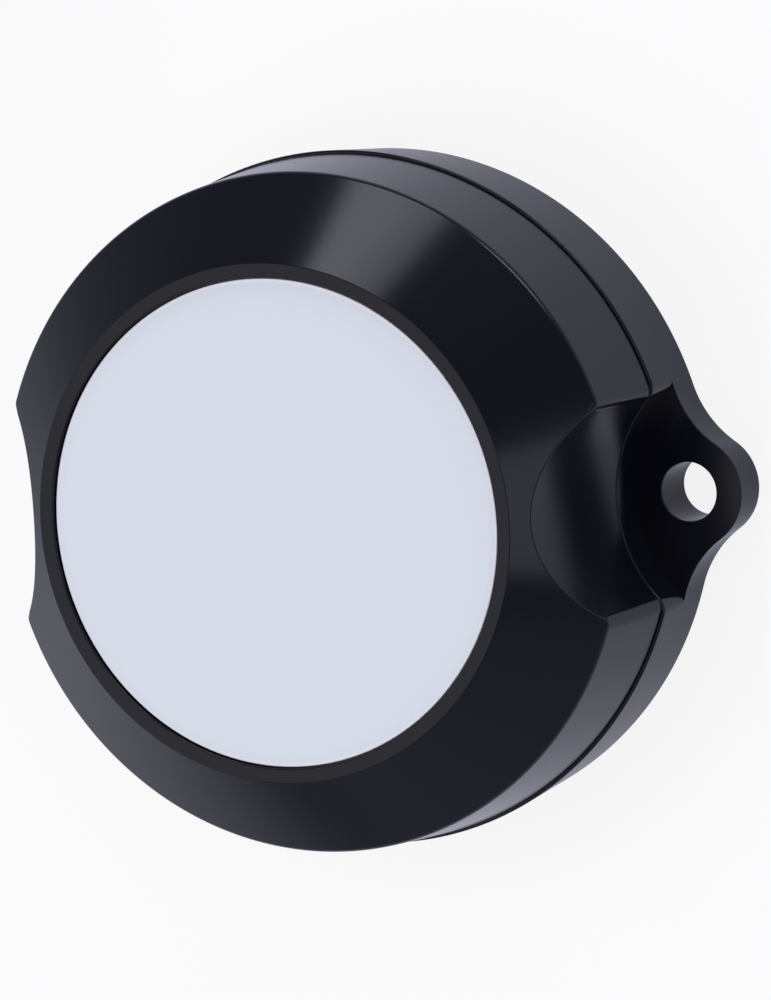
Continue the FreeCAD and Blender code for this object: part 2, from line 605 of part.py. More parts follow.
def make_rear_base():
    """Rear half: floor, wall, ears, pockets, sealing collar, cell cradle and posts."""
    piece = Piece("rear_base")
    groove_foot = RING_HEIGHT - S["ring_groove_width"] / 2
    groove_top = RING_HEIGHT + S["ring_groove_width"] / 2
    cradle_outside = CRADLE_INSIDE + S["cradle_wall"]
    cradle_top = S["base_floor"] + S["cradle_height"]
    outline = [
        (ZERO, ZERO),
        (BACK_RADIUS, ZERO),
        (LIP_RADIUS, S["seam_height"]),
        (COLLAR_RADIUS, S["seam_height"]),
        (COLLAR_RADIUS, groove_foot),
        (GROOVE_RADIUS, groove_foot),
        (GROOVE_RADIUS, groove_top),
        (COLLAR_RADIUS, groove_top),
        (COLLAR_RADIUS, COLLAR_TOP),
        (CHAMBER_RADIUS, COLLAR_TOP),
        (CHAMBER_RADIUS, S["base_floor"]),
        (cradle_outside, S["base_floor"]),
        (cradle_outside, cradle_top),
        (CRADLE_INSIDE, cradle_top),
        (CRADLE_INSIDE, S["base_floor"]),
        (ZERO, S["base_floor"]),
    ]
    piece.revolve("base_form", outline, rounded=outline.index((LIP_RADIUS, S["seam_height"])),
                  radius=S["lip_rounding"])

    pocket_sketch = piece.sketch("ear_pocket_outline", height=S["ear_thickness"])
    draw_scoop(pocket_sketch, SCOOP_RADIUS - S["pocket_step"], S["pocket_corner"],
               LIP_RADIUS + S["rounding_stop"])
    pocket = piece.pocket_up(pocket_sketch, "ear_pocket", S["seam_height"] - S["ear_thickness"])
    piece.ring_of([pocket], "ear_pockets", EARS)

    ear_sketch = piece.sketch("ear_outline")
    draw_ear(ear_sketch)
    draft = arctangent(S["back_inset"] / S["seam_height"])
    ear = piece.pad(ear_sketch, "ear", S["ear_thickness"], taper=draft)
    piece.ring_of([ear], "ears", EARS)

    hole_sketch = piece.sketch("ear_hole_outline")
    draw_circle(hole_sketch, HOLE_PLACE, ZERO, S["ear_hole_radius"])
    hole = piece.pocket_up(hole_sketch, "ear_hole", S["ear_thickness"])
    piece.ring_of([hole], "ear_holes", EARS)

    core = piece.groove("base_core", [
        (CORE_RADIUS, S["base_floor"]),
        (BACK_RADIUS - S["outer_wall"], S["base_floor"]),
        (LIP_RADIUS - S["outer_wall"], S["seam_height"]),
        (CORE_RADIUS, S["seam_height"]),
    ], S["core_angle"])
    piece.ring_of([core], "base_cores", EARS)

    boss_sketch = screw_sketch(piece, "base_boss_outline", S["boss_radius"], S["base_floor"])
    boss = piece.pad(boss_sketch, "base_boss", S["seam_height"] - S["base_floor"])
    piece.ring_of([boss], "base_bosses", HOUSING_SCREWS)
    bore_sketch = screw_sketch(piece, "screw_hole_outline", S["housing_hole_radius"], ZERO)
    bore = piece.pocket_up(bore_sketch, "screw_hole", S["seam_height"])
    piece.ring_of([bore], "screw_holes", HOUSING_SCREWS)
    sink_sketch = screw_sketch(piece, "counterbore_outline", S["counterbore_radius"], ZERO)
    sink = piece.pocket_up(sink_sketch, "counterbore", S["counterbore_depth"])
    piece.ring_of([sink], "counterbores", HOUSING_SCREWS)

    post_sketch = piece.sketch("post_outline", height=S["base_floor"])
    draw_circle(post_sketch, ZERO, POST_CIRCLE, POST_RADIUS)
    post = piece.pad(post_sketch, "post", COLLAR_TOP - S["base_floor"])
    piece.ring_of([post], "posts", BOARD_SCREWS)
    pilot_sketch = piece.sketch("post_pilot_outline",
                                height=COLLAR_TOP - S["board_pilot_depth"])
    draw_circle(pilot_sketch, ZERO, POST_CIRCLE, S["board_pilot_radius"])
    pilot = piece.pocket_up(pilot_sketch, "post_pilot", S["board_pilot_depth"])
    piece.ring_of([pilot], "post_pilots", BOARD_SCREWS)

    notch_sketch = piece.sketch("cradle_notch_outline", height=S["base_floor"])
    draw_rectangle(notch_sketch, (CRADLE_INSIDE + cradle_outside) / 2, ZERO,
                   S["cradle_wall"] * 2, S["cradle_notch"])
    piece.pocket_up(notch_sketch, "cradle_opening", S["cradle_height"])
    return piece.body


def make_label_disc():
    """Blank printed disc that lies in the recess of the front."""
    piece = Piece("label_disc")
    sketch = piece.sketch("label_outline", height=RECESS_FLOOR)
    draw_circle(sketch, ZERO, ZERO, LABEL_RADIUS)
    piece.pad(sketch, "label_sheet", S["label_thickness"])
    return piece.body


def make_seal_ring():
    """Rubber ring, squeezed flat between the collar's groove and the shell's bore."""
    middle = (S["bore_radius"] + GROOVE_RADIUS) / 2
    reach = (S["bore_radius"] - GROOVE_RADIUS - S["thread_gap"]) / 2
    rise = S["ring_thickness"] / 2
    flat = S["ring_flat"] / 2
    crown = S["ring_crown"] / 2
    piece = Piece("seal_ring")
    piece.revolve("ring_form", [
        (middle - crown, RING_HEIGHT - rise),
        (middle + crown, RING_HEIGHT - rise),
        (middle + reach, RING_HEIGHT - flat),
        (middle + reach, RING_HEIGHT + flat),
        (middle + crown, RING_HEIGHT + rise),
        (middle - crown, RING_HEIGHT + rise),
        (middle - reach, RING_HEIGHT + flat),
        (middle - reach, RING_HEIGHT - flat),
    ])
    return piece.body


def make_screws(label, count, across, along, seat, head_up, sizes):
    """Plain pan-head screws in a ring: each a head on its seat and a straight shank."""
    head_radius, head_height, shank_radius, shank_length = sizes
    piece = Piece(label)
    head_foot = seat if head_up else seat - head_height
    shank_foot = seat - shank_length if head_up else seat
    head_sketch = piece.sketch("head_outline", height=head_foot)
    draw_circle(head_sketch, across, along, head_radius)
    head = piece.pad(head_sketch, "head", head_height)
    shank_sketch = piece.sketch("shank_outline", height=shank_foot)
    draw_circle(shank_sketch, across, along, shank_radius)
    shank = piece.pad(shank_sketch, "shank", shank_length)
    piece.ring_of([head, shank], "screw_ring", count)
    return piece.body


def make_housing_screws():
    """Four screws driven from the back, with their heads sunk in the base."""
    shank_length = (S["seam_height"] + HOUSING_PILOT_DEPTH - S["screw_end_gap"]
                    - S["counterbore_depth"])
    shank_radius = S["housing_pilot_radius"] - S["thread_gap"]
    sizes = (S["housing_head_radius"], S["housing_head_height"], shank_radius, shank_length)
    return make_screws("housing_screws", HOUSING_SCREWS, SCREW_PLACE, SCREW_PLACE,
                       S["counterbore_depth"], False, sizes)


def make_board_screws():
    """Three screws that hold the circuit board to the posts."""
    shank_length = S["board_thickness"] + S["board_pilot_depth"] - S["screw_end_gap"]
    shank_radius = S["board_pilot_radius"] - S["thread_gap"]
    sizes = (S["board_head_radius"], S["board_head_height"], shank_radius, shank_length)
    return make_screws("board_screws", BOARD_SCREWS, ZERO, POST_CIRCLE, BOARD_TOP,
                       True, sizes)


def tab_slot(piece, name, place, height, depth):
    """Cut the slot that a tab's pin passes through."""
    sketch = piece.sketch(name + "_outline", height=height)
    draw_rectangle(sketch, place, ZERO, S["tab_thickness"] + S["tab_slot_gap"] * 2,
                   S["tab_pin_width"] + S["tab_slot_gap"] * 2)
    return piece.pocket_up(sketch, name, depth)


def make_circuit_board():
    """Round board that lies on the collar's rim, with screw holes and tab slots."""
    piece = Piece("circuit_board")
    sketch = piece.sketch("board_outline", height=COLLAR_TOP)
    draw_circle(sketch, ZERO, ZERO, BOARD_RADIUS)
    piece.pad(sketch, "board_sheet", S["board_thickness"])
    hole_sketch = piece.sketch("board_hole_outline", height=COLLAR_TOP)
    draw_circle(hole_sketch, ZERO, POST_CIRCLE, S["board_hole_radius"])
    hole = piece.pocket_up(hole_sketch, "board_hole", S["board_thickness"])
    piece.ring_of([hole], "board_holes", BOARD_SCREWS)
    half_tab = S["tab_thickness"] / 2
    tab_slot(piece, "positive_slot", POSITIVE_TAB_PLACE + half_tab, COLLAR_TOP,
             S["board_thickness"])
    tab_slot(piece, "negative_slot", -(S["negative_tab_place"] + half_tab),
             COLLAR_TOP, S["board_thickness"])
    return piece.body


def make_insulator_disc():
    """Thin disc under the board that keeps the cell from its solder joints."""
    piece = Piece("insulator_disc")
    foot = COLLAR_TOP - S["insulator_thickness"]
    sketch = piece.sketch("insulator_outline", height=foot)
    draw_circle(sketch, ZERO, ZERO, S["cell_radius"] + S["insulator_margin"])
    piece.pad(sketch, "insulator_sheet", S["insulator_thickness"])
    tab_slot(piece, "insulator_slot", -(S["negative_tab_place"] + S["tab_thickness"] / 2),
             foot, S["insulator_thickness"])
    return piece.body


def make_foam_pad():
    """Foam disc that presses the cell up from the floor."""
    piece = Piece("foam_pad")
    sketch = piece.sketch("foam_outline", height=S["base_floor"])
    draw_circle(sketch, ZERO, ZERO, S["cell_radius"] - S["foam_inset"])
    piece.pad(sketch, "foam_sheet", S["foam_thickness"])
    return piece.body


def make_cell():
    """Coin cell: the positive can with its filling, the insulating ring and the cap."""
    rim = CELL_TOP - S["cell_shoulder"]
    seat = CELL_TOP - S["cap_depth"]
    cap_radius = S["cell_radius"] - S["cap_inset"]
    ring_radius = cap_radius + S["gasket_width"]
    can = Piece("cell_can")
    can.revolve("can_form", [
        (ZERO, CELL_FOOT),
        (S["cell_radius"] - S["cell_bevel"], CELL_FOOT),
        (S["cell_radius"], CELL_FOOT + S["cell_bevel"]),
        (S["cell_radius"], rim - S["cell_bevel"]),
        (S["cell_radius"] - S["cell_bevel"], rim),
        (ring_radius, rim),
        (ring_radius, seat),
        (ZERO, seat),
    ])
    gasket = Piece("cell_gasket")
    gasket.revolve("gasket_form", [
        (cap_radius, seat),
        (ring_radius, seat),
        (ring_radius, rim),
        (cap_radius, rim),
    ])
    cap = Piece("cell_cap")
    cap.revolve("cap_form", [
        (ZERO, seat),
        (cap_radius, seat),
        (cap_radius, rim),
        (cap_radius - S["cell_shoulder"], CELL_TOP),
        (ZERO, CELL_TOP),
    ])
    return [can.body, gasket.body, cap.body]


def make_tab(label, corners, pin_start):
    """Bent metal strip with a narrow pin that passes through the board."""
    piece = Piece(label)
    strip_sketch = piece.sketch("strip_outline", "XZ_Plane")
    draw_outline(strip_sketch, corners)
    piece.pad(strip_sketch, "strip", S["tab_width"], midplane=True)
    pin_sketch = piece.sketch("pin_outline", "XZ_Plane")
    draw_outline(pin_sketch, [
        (pin_start, TAB_SHOULDER),
        (pin_start + S["tab_thickness"], TAB_SHOULDER),
        (pin_start + S["tab_thickness"], TAB_TIP),
        (pin_start, TAB_TIP),
    ])
    piece.pad(pin_sketch, "pin", S["tab_pin_width"], midplane=True)
    return piece.body


def make_positive_tab():
    """Tab under the can that comes up beside the cell."""
    strip_foot = CELL_FOOT - S["tab_thickness"]
    outside = POSITIVE_TAB_PLACE + S["tab_thickness"]
    return make_tab("tab_positive", [
        (S["cell_radius"] - S["tab_reach"], strip_foot),
        (outside, strip_foot),
        (outside, TAB_SHOULDER),
        (POSITIVE_TAB_PLACE, TAB_SHOULDER),
        (POSITIVE_TAB_PLACE, CELL_FOOT),
        (S["cell_radius"] - S["tab_reach"], CELL_FOOT),
    ], POSITIVE_TAB_PLACE)


def make_negative_tab():
    """Tab on the cap that turns up to the board."""
    strip_top = CELL_TOP + S["tab_thickness"]
    inner = -S["negative_tab_place"]
    outer = inner - S["tab_thickness"]
    return make_tab("tab_negative", [
        (outer, CELL_TOP),
        (inner + S["tab_reach"], CELL_TOP),
        (inner + S["tab_reach"], strip_top),
        (inner, strip_top),
        (inner, TAB_SHOULDER),
        (outer, TAB_SHOULDER),
    ], outer)


def make_block(label, across, along, length, width, height):
    """Plain block soldered on the board, given by its middle."""
    block = doc.addObject("Part::Box", label)
    block.Label = label
    bind(block, "Length", length)
    bind(block, "Width", width)
    bind(block, "Height", height)
    bind_place(block, as_length(across) - length / 2, as_length(along) - width / 2, BOARD_TOP)
    return block


def make_group(label, places, upright=False):
    """Row of small parts: one block at each place, gathered under one name."""
    length, width = S["small_part_length"], S["small_part_width"]
    if upright:
        length, width = width, length
    blocks = [make_block("%s_%d" % (label, number), across, along, length, width,
                         S["small_part_height"])
              for number, (across, along) in enumerate(places, start=1)]
    group = doc.addObject("Part::Compound", label)
    group.Label = label
    group.Links = blocks
    return group


def make_chips():
    """Radio chip, its two crystals and the chip antenna at the rim of the board."""
    chip_y = S["chip_place_y"]
    beside = S["chip_side"] / 2 + S["crystal_gap"]
    antenna_y = -(BOARD_RADIUS - S["antenna_inset"])
    return [
        make_block("radio_chip", ZERO, chip_y, S["chip_side"], S["chip_side"],
                   S["chip_height"]),
        make_block("crystal_main", beside + S["main_crystal_width"] / 2, chip_y,
                   S["main_crystal_width"], S["main_crystal_length"],
                   S["main_crystal_height"]),
        make_block("crystal_slow", ZERO, chip_y + beside + S["slow_crystal_width"] / 2,
                   S["slow_crystal_length"], S["slow_crystal_width"],
                   S["slow_crystal_height"]),
        make_block("chip_antenna", ZERO, antenna_y, S["antenna_length"],
                   S["antenna_width"], S["antenna_height"]),
    ]


def make_small_parts():
    """Antenna matching inductors, decoupling capacitors and resistors."""
    chip_y = S["chip_place_y"]
    pitch = S["small_part_pitch"]
    row = S["chip_side"] / 2 + S["small_part_gap"]
    inductors = [(ZERO, chip_y - row - pitch * number) for number in range(3)]
    capacitors = [(-row, chip_y + pitch * number) for number in range(-2, 3)]
    resistors = [(pitch * number, chip_y + row + S["crystal_gap"] + S["slow_crystal_width"]
                  + S["small_part_gap"]) for number in range(-1, 3)]
    return [
        make_group("matching_inductors", inductors),
        make_group("decoupling_capacitors", capacitors),
        make_group("resistors", resistors, upright=True),
    ]


def make_tank_capacitor():
    """Upright can capacitor on a square foot, which feeds the radio's bursts."""
    piece = Piece("tank_capacitor")
    foot_sketch = piece.sketch("foot_outline", height=BOARD_TOP)
    draw_rectangle(foot_sketch, S["tank_place_x"], S["tank_place_y"], S["tank_foot_side"],
                   S["tank_foot_side"])
    piece.pad(foot_sketch, "foot", S["tank_foot_height"])
    can_sketch = piece.sketch("tank_outline", height=BOARD_TOP + S["tank_foot_height"])
    draw_circle(can_sketch, S["tank_place_x"], S["tank_place_y"], S["tank_radius"])
    piece.pad(can_sketch, "tank", CEILING - S["tank_headroom"] - BOARD_TOP
              - S["tank_foot_height"])
    return piece.body


def make_rod(name, radius, length, across, up, sideways=True):
    """Round rod of the reed switch, along X or upright."""
    rod = doc.addObject("Part::Cylinder", name)
    bind(rod, "Radius", radius)
    bind(rod, "Height", length)
    if sideways:
        rod.Placement.Rotation = FreeCAD.Rotation(FreeCAD.Vector(0, 1, 0), 90)
    bind_place(rod, across, S["reed_place_y"], up)
    return rod


def make_ball(name, radius, across, up):
    """Round end or bend of the reed switch."""
    ball = doc.addObject("Part::Sphere", name)
    bind(ball, "Radius", radius)
    bind_place(ball, across, S["reed_place_y"], up)
    return ball


def fuse(label, shapes):
    """Join overlapping solids into one."""
    joined = doc.addObject("Part::MultiFuse", label)
    joined.Label = label
    joined.Shapes = shapes
    joined.Refine = True
    return joined


def make_reed_switch():
    """Magnet-operated switch that wakes the sealed beacon: glass tube and two leads."""
    up = BOARD_TOP + S["reed_rise"]
    half = S["reed_length"] / 2
    middle = S["reed_place_x"]
    glass = fuse("reed_glass", [
        make_rod("reed_tube", S["reed_radius"], S["reed_length"], middle - half, up),
        make_ball("reed_left_end", S["reed_radius"], middle - half, up),
        make_ball("reed_right_end", S["reed_radius"], middle + half, up),
    ])
    leads = []
    for name, side in (("left", -1), ("right", 1)):
        glass_end = middle + (half + S["reed_radius"]) * side
        bend = glass_end + S["reed_lead_length"] * side
        start = bend if side < 0 else glass_end
        leads.append(fuse("reed_%s_lead" % name, [
            make_rod("reed_%s_run" % name, S["reed_lead_radius"], S["reed_lead_length"],
                     start, up),
            make_ball("reed_%s_bend" % name, S["reed_lead_radius"], bend, up),
            make_rod("reed_%s_leg" % name, S["reed_lead_radius"], S["reed_rise"], bend,
                     BOARD_TOP, sideways=False),
        ]))
    pair = doc.addObject("Part::Compound", "reed_leads")
    pair.Label = "reed_leads"
    pair.Links = leads
    return [glass, pair]


def make_guard_transistor():
    """Small transistor that protects the radio from a reversed cell."""
    return make_block("guard_transistor", S["transistor_place_x"], S["transistor_place_y"],
                      S["transistor_width"], S["transistor_length"], S["transistor_height"])


def make_all():
    """Make every piece of the beacon."""
    pieces = [make_front_shell(), make_rear_base(), make_label_disc(), make_seal_ring()]
    pieces += [make_housing_screws(), make_board_screws()]
    pieces += [make_circuit_board(), make_insulator_disc(), make_foam_pad()]
    pieces += make_cell()
    pieces += [make_positive_tab(), make_negative_tab()]
    pieces += make_chips()
    pieces += make_small_parts()
    pieces += [make_tank_capacitor()]
    pieces += make_reed_switch()
    pieces += [make_guard_transistor()]
    doc.recompute()
    return pieces


def check(pieces):
    """Stop if any object of the document failed or any piece has no sound shape."""
    for item in doc.Objects:
        if "Invalid" in item.State or "Error" in item.State:
            raise RuntimeError("%s failed: %s" % (item.Name, item.State))
    for piece in pieces:
        if piece.Shape.isNull() or not piece.Shape.isValid():
            raise RuntimeError("%s has no valid shape" % piece.Label)
        if not piece.Shape.Solids:
            raise RuntimeError("%s has no solid" % piece.Label)


def write(pieces):
    """Write each piece to its own file."""
    os.makedirs("parts", exist_ok=True)
    for piece in pieces:
        piece.Shape.exportStep("parts/%s.step" % piece.Label)
        box = piece.Shape.BoundBox
        print("%-22s solids %d  volume %9.3f  x %7.2f %7.2f  y %7.2f %7.2f  z %6.2f %6.2f" % (
            piece.Label, len(piece.Shape.Solids), piece.Shape.Volume, box.XMin, box.XMax,
            box.YMin, box.YMax, box.ZMin, box.ZMax))


pieces = make_all()
check(pieces)
write(pieces)
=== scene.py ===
"""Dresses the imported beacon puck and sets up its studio.

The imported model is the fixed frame. The two halves of the housing, the label and the
housing screws are built again here with soft edges, and every other solid keeps its mesh
and gets the finish of its real material. All sizes in the classes are millimetres.
"""

import logging
import math
from dataclasses import dataclass
from enum import Enum
from typing import Any

import bpy
import numpy as np
from mathutils import Matrix, Vector
from mathutils.geometry import delaunay_2d_cdt


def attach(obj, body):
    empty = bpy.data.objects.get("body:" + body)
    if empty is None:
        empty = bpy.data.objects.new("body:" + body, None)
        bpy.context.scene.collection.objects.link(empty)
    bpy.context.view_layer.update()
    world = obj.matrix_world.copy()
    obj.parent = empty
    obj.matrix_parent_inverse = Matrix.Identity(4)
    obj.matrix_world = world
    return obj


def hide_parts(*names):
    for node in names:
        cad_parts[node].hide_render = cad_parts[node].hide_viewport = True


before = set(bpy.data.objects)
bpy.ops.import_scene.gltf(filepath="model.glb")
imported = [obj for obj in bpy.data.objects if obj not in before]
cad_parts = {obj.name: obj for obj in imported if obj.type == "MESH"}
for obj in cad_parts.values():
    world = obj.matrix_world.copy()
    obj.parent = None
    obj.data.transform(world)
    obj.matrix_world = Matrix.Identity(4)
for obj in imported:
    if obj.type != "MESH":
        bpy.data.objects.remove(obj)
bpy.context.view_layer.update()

Array = np.ndarray
MM = 0.001
QUARTER = math.pi / 2
report = logging.getLogger("beacon")


# Surfaces


@dataclass
class Patch:
    """A piece of surface: its points and outward normals, and faces of four corners.

    A triangle repeats its last corner.
    """

    points: Array
    normals: Array
    faces: Array


def grid(points: Array, normals: Array) -> Patch:
    """Joins the points of a grid with faces: corner (i, j) to (i, j+1), (i+1, j+1), (i+1, j).

    Args:
        points: rows x columns x 3.
        normals: outward normals, of the same shape.

    Returns:
        The patch.
    """
    rows, columns = points.shape[:2]
    index = np.arange(rows * columns).reshape(rows, columns)
    faces = np.stack(
        [index[:-1, :-1], index[:-1, 1:], index[1:, 1:], index[1:, :-1]], axis=-1)
    return Patch(points.reshape(-1, 3), normals.reshape(-1, 3), faces.reshape(-1, 4))


def flat(loops: list[Array], height: float, up: bool) -> Patch:
    """Fills a level area between loops: triangles whose middle an odd number of loops hold.

    Args:
        loops: closed outlines, each of n x 2 points.
        height: the level of the area.
        up: whether the face looks up.

    Returns:
        The patch.
    """
    spots = np.concatenate(loops)
    ends = np.cumsum([len(loop) for loop in loops])
    after = np.arange(1, len(spots) + 1)
    after[ends - 1] = ends - [len(loop) for loop in loops]
    edges = np.stack([np.arange(len(spots)), after], axis=1)
    result = delaunay_2d_cdt([Vector(spot) for spot in spots], edges.tolist(), [], 0, 1e-7)
    origin = np.array([sources[0] for sources in result[3]])
    triangles = origin[np.array(result[2])]
    middles = spots[triangles].mean(axis=1)
    start, end = spots[edges[:, 0]], spots[edges[:, 1]]
    across, along = middles[:, None, 0], middles[:, None, 1]
    spans = (start[:, 1] > along) != (end[:, 1] > along)
    rise = np.where(start[:, 1] == end[:, 1], 1.0, end[:, 1] - start[:, 1])
    crossing = start[:, 0] + (along - start[:, 1]) / rise * (end[:, 0] - start[:, 0])
    inside = (spans & (crossing > across)).sum(axis=1) % 2 == 1
    triangles = triangles[inside]
    points = np.column_stack([spots, np.full(len(spots), height)])
    normals = np.tile([0.0, 0.0, 1.0 if up else -1.0], (len(spots), 1))
    return Patch(points, normals, np.column_stack([triangles, triangles[:, 2]]))


@dataclass(frozen=True)
class Turn:
    """One corner of a profile, as radius and height, and the radius that rounds it."""

    radius: float
    height: float
    rounding: float = 0.0


def profile(turns: list[Turn], steps: int = 6) -> Array:
    """Walks a profile with the solid on its left and rounds its corners.

    A corner becomes an arc: its middle lies one rounding inwards from both straight runs,
    and its normals turn evenly from the first run's to the second's. A sharp corner gives
    the same point twice, once with each normal.

    Args:
        turns: the corners, the two ends among them.
        steps: parts of each arc.

    Returns:
        Rows of radius, height and the two parts of the outward normal.
    """
    spots = np.array([(turn.radius, turn.height) for turn in turns])
    runs = np.diff(spots, axis=0)
    runs /= np.linalg.norm(runs, axis=1)[:, None]
    sides = np.column_stack([runs[:, 1], -runs[:, 0]])
    rows = [np.append(spots[0], sides[0])]
    for number in range(1, len(turns) - 1):
        before, after = sides[number - 1], sides[number]
        bend = math.atan2(before[0] * after[1] - before[1] * after[0], before @ after)
        size = turns[number].rounding
        share = np.linspace(0.0, 1.0, steps + 1 if size > 0 else 2)
        angle = math.atan2(before[1], before[0]) + bend * share
        normal = np.column_stack([np.cos(angle), np.sin(angle)])
        outward = math.copysign(size, bend)
        start = spots[number] - runs[number - 1] * size * math.tan(abs(bend) / 2)
        middle = start - outward * before
        rows.extend(np.column_stack([middle + outward * normal, normal]))
    rows.append(np.append(spots[-1], sides[-1]))
    return np.array(rows)


def lathe(rows: Array, angles: Array, across: float = 0.0, along: float = 0.0) -> Patch:
    """Carries a profile round an upright axis: (r cos a, r sin a, h).

    Args:
        rows: what profile gives.
        angles: the angles of the columns.
        across: x of the axis.
        along: y of the axis.

    Returns:
        The patch.
    """
    turn = polar(angles)[None]
    points = np.empty((len(rows), len(angles), 3))
    points[..., :2] = rows[:, None, :1] * turn + (across, along)
    points[..., 2] = rows[:, None, 1]
    normals = np.empty_like(points)
    normals[..., :2] = rows[:, None, 2:3] * turn
    normals[..., 2] = rows[:, None, 3]
    return grid(points, normals)


def walls(foot: Array, head: Array, hollow: bool) -> Patch:
    """Raises walls between two paths of as many points that run anticlockwise.

    Each wall's normal is its lower edge turned by a right angle, and where two edges meet
    at less than 30 degrees they share the mean of their normals.

    Args:
        foot: n x 3 points; a closed path repeats its first point.
        head: the matching points of the other edge.
        hollow: whether the walls look into the loop.

    Returns:
        The patch.
    """
    edges = np.diff(foot[:, :2], axis=0)
    sides = unit(np.column_stack([edges[:, 1], -edges[:, 0]])) * (-1.0 if hollow else 1.0)
    closed = np.allclose(foot[0], foot[-1])
    before = np.roll(sides, 1, axis=0)
    if not closed:
        before[0] = sides[0]
    smooth = ((sides * before).sum(axis=1) > math.cos(math.radians(30)))[:, None]
    mean = np.where(smooth, unit(sides + before), sides)
    after = np.roll(np.where(smooth, mean, before), -1, axis=0)
    if not closed:
        after[-1] = sides[-1]
    points = np.stack([foot[:-1], foot[1:], head[1:], head[:-1]], axis=1)
    normals = np.stack([mean, after, after, mean], axis=1)
    normals = np.concatenate([normals, np.zeros_like(normals[..., :1])], axis=-1)
    faces = np.arange(len(edges) * 4).reshape(-1, 4)
    return Patch(points.reshape(-1, 3), normals.reshape(-1, 3), faces)


def band(spots: Array, sides: Array, inset: Array, level: Array, out: Array,
         up: Array) -> Patch:
    """Lays a grid over level outlines, each point moved inwards and raised.

    Args:
        spots: rows x columns x 2 points of the outlines.
        sides: their level outward normals.
        inset: how far each point lies inside its outline.
        level: the heights.
        out: the level part of each normal.
        up: its upright part.

    Returns:
        The patch.
    """
    points = np.concatenate([spots - sides * inset[..., None], level[..., None]], axis=-1)
    return grid(points, np.concatenate([sides * out[..., None], up[..., None]], axis=-1))


def cored(core: Array, end: Array, mouth: float, level: Array, up: bool) -> list[Patch]:
    """Builds a cored space: walls from its mouth to its end, and the face that closes it.

    Args:
        core: the outline at the mouth.
        end: the matching outline at the end.
        mouth: the height of the mouth.
        level: the height of each point at the end.
        up: whether the closing face looks up.

    Returns:
        The walls and the face.
    """
    cover = flat([end[:-1] if np.allclose(end[0], end[-1]) else end], 0.0, up)
    cover.points[:, 2] = level[:len(cover.points)]
    return [walls(raised(core, mouth), raised(end, level), True), cover]


def raised(path: Array, height: Array | float) -> Array:
    """Returns the points of a plane path at a height, or each at its own."""
    return np.column_stack([path, np.broadcast_to(height, len(path))])


def polar(angle: Array, size: Array | float = 1.0) -> Array:
    """Returns points by their angle and distance from the origin: (r cos a, r sin a)."""
    return np.stack([size * np.cos(angle), size * np.sin(angle)], axis=-1)


def circle(radius: float, across: float, along: float, count: int = 32) -> Array:
    """Returns points round a circle, anticlockwise: (x + r cos a, y + r sin a)."""
    return polar(np.arange(count) / count * math.tau, radius) + (across, along)


def unit(vectors: Array) -> Array:
    """Returns vectors scaled to a length of one."""
    return vectors / np.linalg.norm(vectors, axis=-1, keepdims=True)


def between(first: Array, last: Array, share: Array) -> Array:
    """Turns one unit vector into another evenly: sines of the parts of their angle.

    Args:
        first: the vectors at share 0.
        last: the vectors at share 1.
        share: how far each one has turned.

    Returns:
        The unit vectors on the way.
    """
    angle = np.arccos(np.clip((first * last).sum(axis=-1, keepdims=True), -1, 1))
    angle = np.maximum(angle, 1e-6)
    return (np.sin((1 - share) * angle) * first + np.sin(share * angle) * last) / np.sin(angle)


def ease(value: Array | float, start: float, end: float) -> Any:
    """Returns 0 before start, 1 after end, and an S-shaped step between them."""
    share = np.clip((value - start) / (end - start), 0.0, 1.0)
    return share * share * (3 - 2 * share)


def add_object(name: str, data: bpy.types.ID) -> bpy.types.Object:
    """Makes an object of a mesh, lamp or camera and puts it in the scene.

    Args:
        name: the object's name.
        data: what the object shows.

    Returns:
        The object.
    """
    item = bpy.data.objects.new(name, data)
    bpy.context.scene.collection.objects.link(item)
    return item


